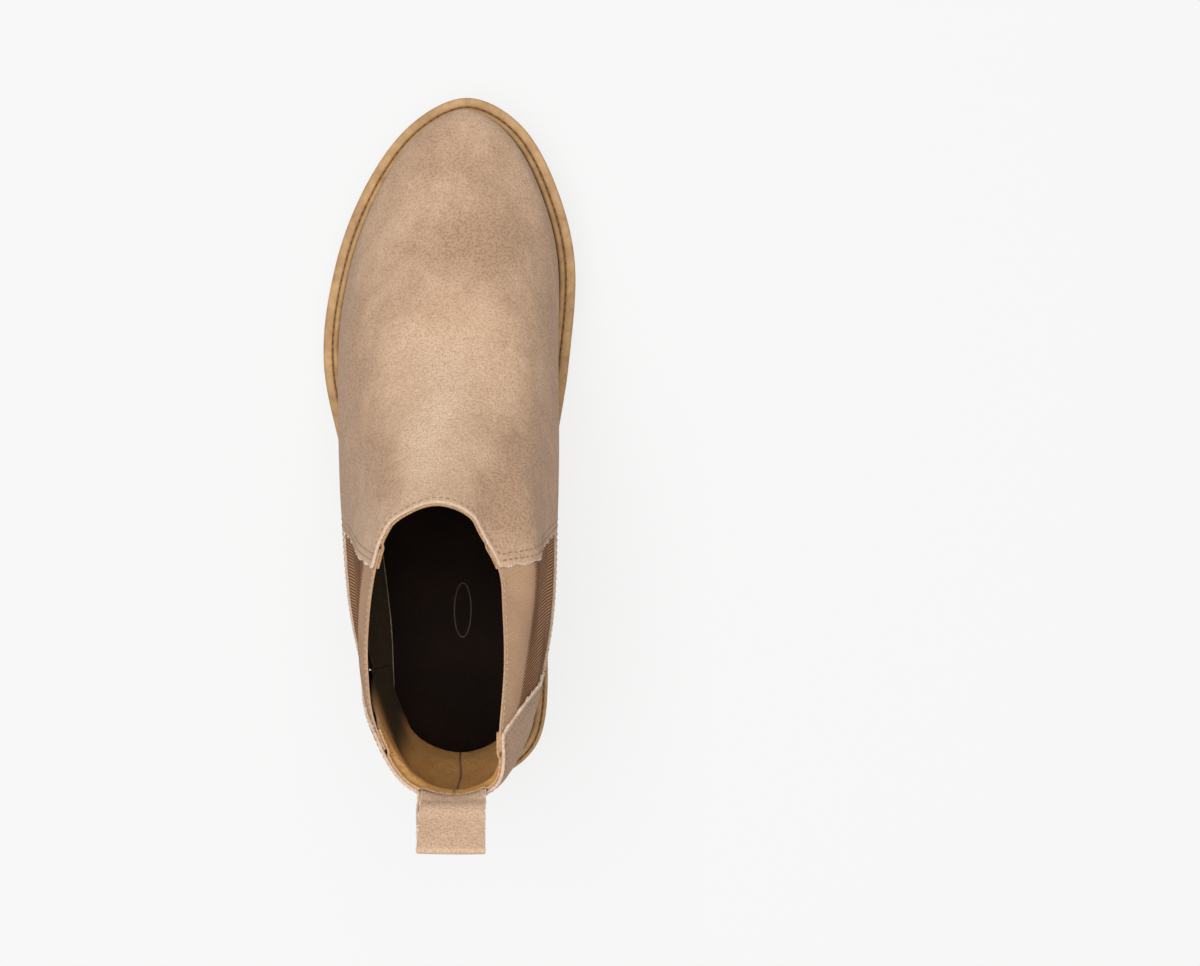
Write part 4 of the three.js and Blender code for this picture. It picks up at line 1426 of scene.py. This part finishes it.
slip = np.concatenate([tabCut["slip"] * eased((rise[-1] - rise) / 20), 0 * atFold, 0 * rise])
share = np.concatenate([rise / rise[-1], atFold, rise[::-1] / rise[-1]])
tabEdge = np.array([0.93, 0.955, 0.975, 0.99, 1])
widths = np.concatenate([-tabEdge[::-1], np.linspace(-0.88, 0.88, 34), tabEdge])
rows, columns = len(line), len(widths)
w, q = np.meshgrid(widths, np.arange(rows))
half = tabCut["wide"] / 2 * (1 + tabCut["widen"] * share[q] ** 2) + 0.05 * np.sin(q * 0.83) * np.abs(w) ** 6
cup = tabCut["cup"] * (share[q] * w**2 - np.sin(share[q] * 5) * w / 2)
backOfCollar = upperAt(np.linspace(9.2, 6.8, 80), topLevel)
held = np.concatenate([1 - loose, 0 * atFold, 1 - loose[::-1]])
bend = np.interp(w * half, backOfCollar[::-1, 0] - pivot[0], backOfCollar[::-1, 1] - backOfCollar[:, 1].max())
tabX = pivot[0] + w * half + slip[q] * 0.9 - 0.5 * share[q]
tabY = line[q, 0] + held[q] * bend - cup * 0.5
tabGrid = np.stack([tabX, tabY, line[q, 1] + cup * 0.5], -1)
tabPoints = tabGrid.reshape(-1, 3)
tabIn = np.stack([0 * w, -outwards[q, 0], -outwards[q, 1]], -1).reshape(-1, 3)
tabQuads = gridQuads(np.arange(rows * columns).reshape(rows, columns))
tabLengths = lengthsAlong(np.concatenate([np.zeros((rows, 1)), line], 1))
tabUv = np.stack([w * half, tabLengths[q]], -1).reshape(-1, 2) * mm
# painted shade along a crease across the strap; the rest a little paler
creaseShade = hump(share[q].ravel(), tabCut["creaseShade"]) + 0.12
halfThick = halves[q].ravel()
pullTab = closedSheet(
    "pull_tab_suede", tabPoints, tabIn, tabQuads, -halfThick, halfThick, [tabSuede, cutEdge],
    tabCut["rawEdge"], uv=tabUv, tone=creaseShade,
)
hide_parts("pull_tab", "pull_tab_root")
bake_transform(pullTab)
freeRows = np.nonzero((held < 0.1) & (np.arange(rows) < rows - 1))[0]
tabEdges = []
for column, side in ((0, -1.0), (columns - 1, 1.0)):
    out = np.tile([side, 0.0, 0.0], (len(freeRows), 1))
    face = np.stack([0 * freeRows, outwards[freeRows, 0], outwards[freeRows, 1]], 1)
    tabEdges.append((tabGrid[freeRows, column], out, face))
print("pull tab sewn in")


# seams
fineSeam = {"pitch": 2.5, "length": 1.9, "radius": 0.24}
collarSeam = {"pitch": 2.3, "length": 1.7, "radius": 0.22}
backSeam = {"pitch": 3.0, "length": 2.0, "radius": 0.24, "deep": (4.25, 3.2)}  # shallower at the collar
seamRows = {"lap": (1.4, 3.4), "foot": (1.6, 3.8), "hem": 1.3}
fibreDepth = 0.6  # under the suede's face, in the middle of its cut edge


def levelUnder(station, level, distance):
    rise = 0.1
    hop = np.linalg.norm(upperAt(station, level) - upperAt(station, level - rise), axis=1) / rise
    return level - distance / hop


def onSkin(station, level, depth):
    # points this deep under the suede's face, and the way out of it
    surface, inward = skinAt(station, level)
    depth = depth - drapeAt(surface, np.broadcast_to(level, len(surface)))
    return surface + inward * depth[:, None], -inward


def fibreRun(station, level, ahead):
    edge, out = onSkin(station, level, fibreDepth)
    return edge, unit(ahead), out


suedeRuns, hemRuns, fluffRuns, collarFluff = [], [], [], []
seamHeights = np.linspace(goreLevel, 6.97, 160)
lapHeights = np.linspace(0.5, 2.95, 90)
backHeights = np.linspace(1.0, 6.95, 120)
atFoot, atTop = np.array([float(goreLevel)]), np.array([float(topLevel)])
lap = vampCut["lap"]
for _, medial, sign in bothSides:
    frontStation = seamStations(seamHeights, medial, frontSeam, -lap)
    rearStation = seamStations(seamHeights, medial, rearSeam, lap)
    frontHop = mmToStation(seamHeights, sign * frontStation)
    rearHop = mmToStation(seamHeights, sign * rearStation)
    for row in vampCut["rows"]:
        suedeRuns.append(onSkin(sign * (frontStation - row * frontHop), seamHeights, 0.1))
    for row in quarterCut["rows"]:
        suedeRuns.append(onSkin(sign * (rearStation + row * rearHop), seamHeights, 0.1))
    # the quarter laps the vamp below the gore
    lapStation = seamStations(lapHeights, medial, rearSeam, lap)
    lapHop = mmToStation(lapHeights, sign * lapStation)
    for row in seamRows["lap"]:
        suedeRuns.append(onSkin(sign * (lapStation + row * lapHop), lapHeights, 0.05))
    # along the window's foot
    footEnd = stationAt(atFoot, medial, rearSeam)[0]
    footStation = sign * np.linspace(frontStation[0] + 0.02, footEnd - 0.02, 80)
    for row in seamRows["foot"]:
        suedeRuns.append(onSkin(footStation, levelUnder(footStation, goreLevel, row), 0.06))
    # the elastic's hem at the collar
    hem = sign * np.linspace(frontStation[-1] + 0.03, rearStation[-1] - 0.03, 80)
    hemRuns.append(onSkin(hem, levelUnder(hem, topLevel, seamRows["hem"]), 1.34))
    # loose fibres along the window's cut edges
    for stations, toward in ((frontStation, nudge), (rearStation, -nudge)):
        ahead = upperAt(sign * (stations + toward), seamHeights) - upperAt(sign * stations, seamHeights)
        fluffRuns.append(fibreRun(sign * stations, seamHeights, ahead))
    ahead = upperAt(footStation, goreLevel + 0.05) - upperAt(footStation, goreLevel)
    fluffRuns.append(fibreRun(footStation, goreLevel, ahead))
    # beside the back seam
    backHop = mmToStation(backHeights, np.full(len(backHeights), float(backStation)))
    back = sign * (quarterBack - quarterCut["backRow"] * backHop)
    suedeRuns.append(onSkin(back, backHeights, 0.08))

frontEnds = [seamStations(atTop, medial, frontSeam, -lap)[0] for _, medial, _ in bothSides]
rearEnds = [seamStations(atTop, medial, rearSeam, lap)[0] for _, medial, _ in bothSides]
collarSpans = [
    np.linspace(-frontEnds[1] + 0.04, frontEnds[0] - 0.04, 240),
    np.linspace(rearEnds[0] + 0.05, backStation - 0.05, 160),
    -np.linspace(rearEnds[1] + 0.05, backStation - 0.05, 160),
]
for span in collarSpans:
    suedeRuns.append(onSkin(span, levelUnder(span, topLevel, vampCut["collarRow"]), 0.08))
    ahead = upperAt(span, topLevel) - upperAt(span, topLevel - 0.05)
    collarFluff.append(fibreRun(span, 6.997, ahead))
stitches("suede_seam_stitches", suedeRuns, fineSeam, seamThread)
stitches("gore_hem_stitches", hemRuns, collarSeam, paleThread)
liningHeights = np.linspace(2.0, 6.93, 60)
surface, inward = skinAt(backStation, liningHeights)
depth = between(*backSeam["deep"], eased((liningHeights - 6.3) / 0.5))
stitches("lining_back_stitches", [(surface + inward * depth[:, None], inward)], backSeam, liningThread)
print("seams sewn")

windowNap = {"perMm": 16.0, "length": 1.5, "width": 0.11, "thick": 0.7}
collarNap = {"perMm": 18.0, "length": 0.95, "width": 0.11, "thick": 0.7}
tabNap = {"perMm": 9.0, "length": 0.9, "width": 0.1, "thick": 0.6}
fluff("cut_edge_fibres", fluffRuns, windowNap, looseFibre)
fluff("collar_edge_fibres", collarFluff, collarNap, looseFibre)
fluff("tab_edge_fibres", tabEdges, tabNap, looseFibre, "pull_tab")
print("cut edges brushed up")


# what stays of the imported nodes
steel = plainFinish("nailSteel", shade(172, 174, 176), shade(120, 122, 124), 700.0, 0.35, 1.0, 0.0001)
corkMix = plainFinish("groundCork", shade(186, 142, 96), shade(112, 76, 46), 420.0, 0.95, 0.0, 0.0006)
pulpBoard = plainFinish("pressedBoard", shade(192, 170, 136), shade(154, 132, 100), 800.0, 0.9)
keptNodes = {"shank": steel, "cork_filler": corkMix}
keptNodes.update({node: pulpBoard for node in ("insole_board", "toe_puff", "heel_counter")})
keptNodes.update({"heel_nail_%d" % k: steel for k in range(1, 6)})
for node, material in keptNodes.items():
    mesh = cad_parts[node].data
    mesh.materials.clear()
    mesh.materials.append(material)


# studio
studio = {
    "overhead": {"place": (0.12, -0.05, 1.7), "size": 1.3, "power": 30.5},
    "fill": 0.34,
    "floor": 0.13,
    "floorPatch": 0.2,
    "floorGlow": 0.78,
    "floorHalf": 3000.0,
    "floorDrop": 0.4,  # under the tread, so that the two faces stay apart
}


def grey(level):
    return (level, level, level, 1)


floorFinish = Finish("paleTable", Roughness=0.9, Specular_IOR_Level=0.0)
floorFinish.shader.inputs["Emission Strength"].default_value = studio["floorGlow"]
floorFinish.shader.inputs["Emission Color"].default_value = grey(1)
floorCloud = floorFinish.remap(floorFinish.noise(floorFinish.place(), 3.0, 2.0), 0, 1, 0.0, 0.02)
floorColour = floorFinish.mix(floorCloud, grey(studio["floor"]), grey(studio["floorPatch"]))
half = studio["floorHalf"]
floorCorners = [(x * half, y * half, -studio["floorDrop"]) for x, y in ((-1, -1), (1, -1), (1, 1), (-1, 1))]
floor = meshPiece("table", floorCorners, [(0, 1, 2, 3)], [floorFinish.done(floorColour)])

softbox = bpy.data.lights.new("softbox", "AREA")
softbox.energy, softbox.size = studio["overhead"]["power"], studio["overhead"]["size"]
lamp = bpy.data.objects.new("softbox", softbox)
lamp.location = studio["overhead"]["place"]
bpy.context.scene.collection.objects.link(lamp)
world = bpy.data.worlds.new("paleRoom")
world.use_nodes = True
world.node_tree.nodes["Background"].inputs["Color"].default_value = grey(1)
world.node_tree.nodes["Background"].inputs["Strength"].default_value = studio["fill"]
bpy.context.scene.world = world
bpy.context.scene.view_settings.view_transform = "Standard"
print("table and lights set")
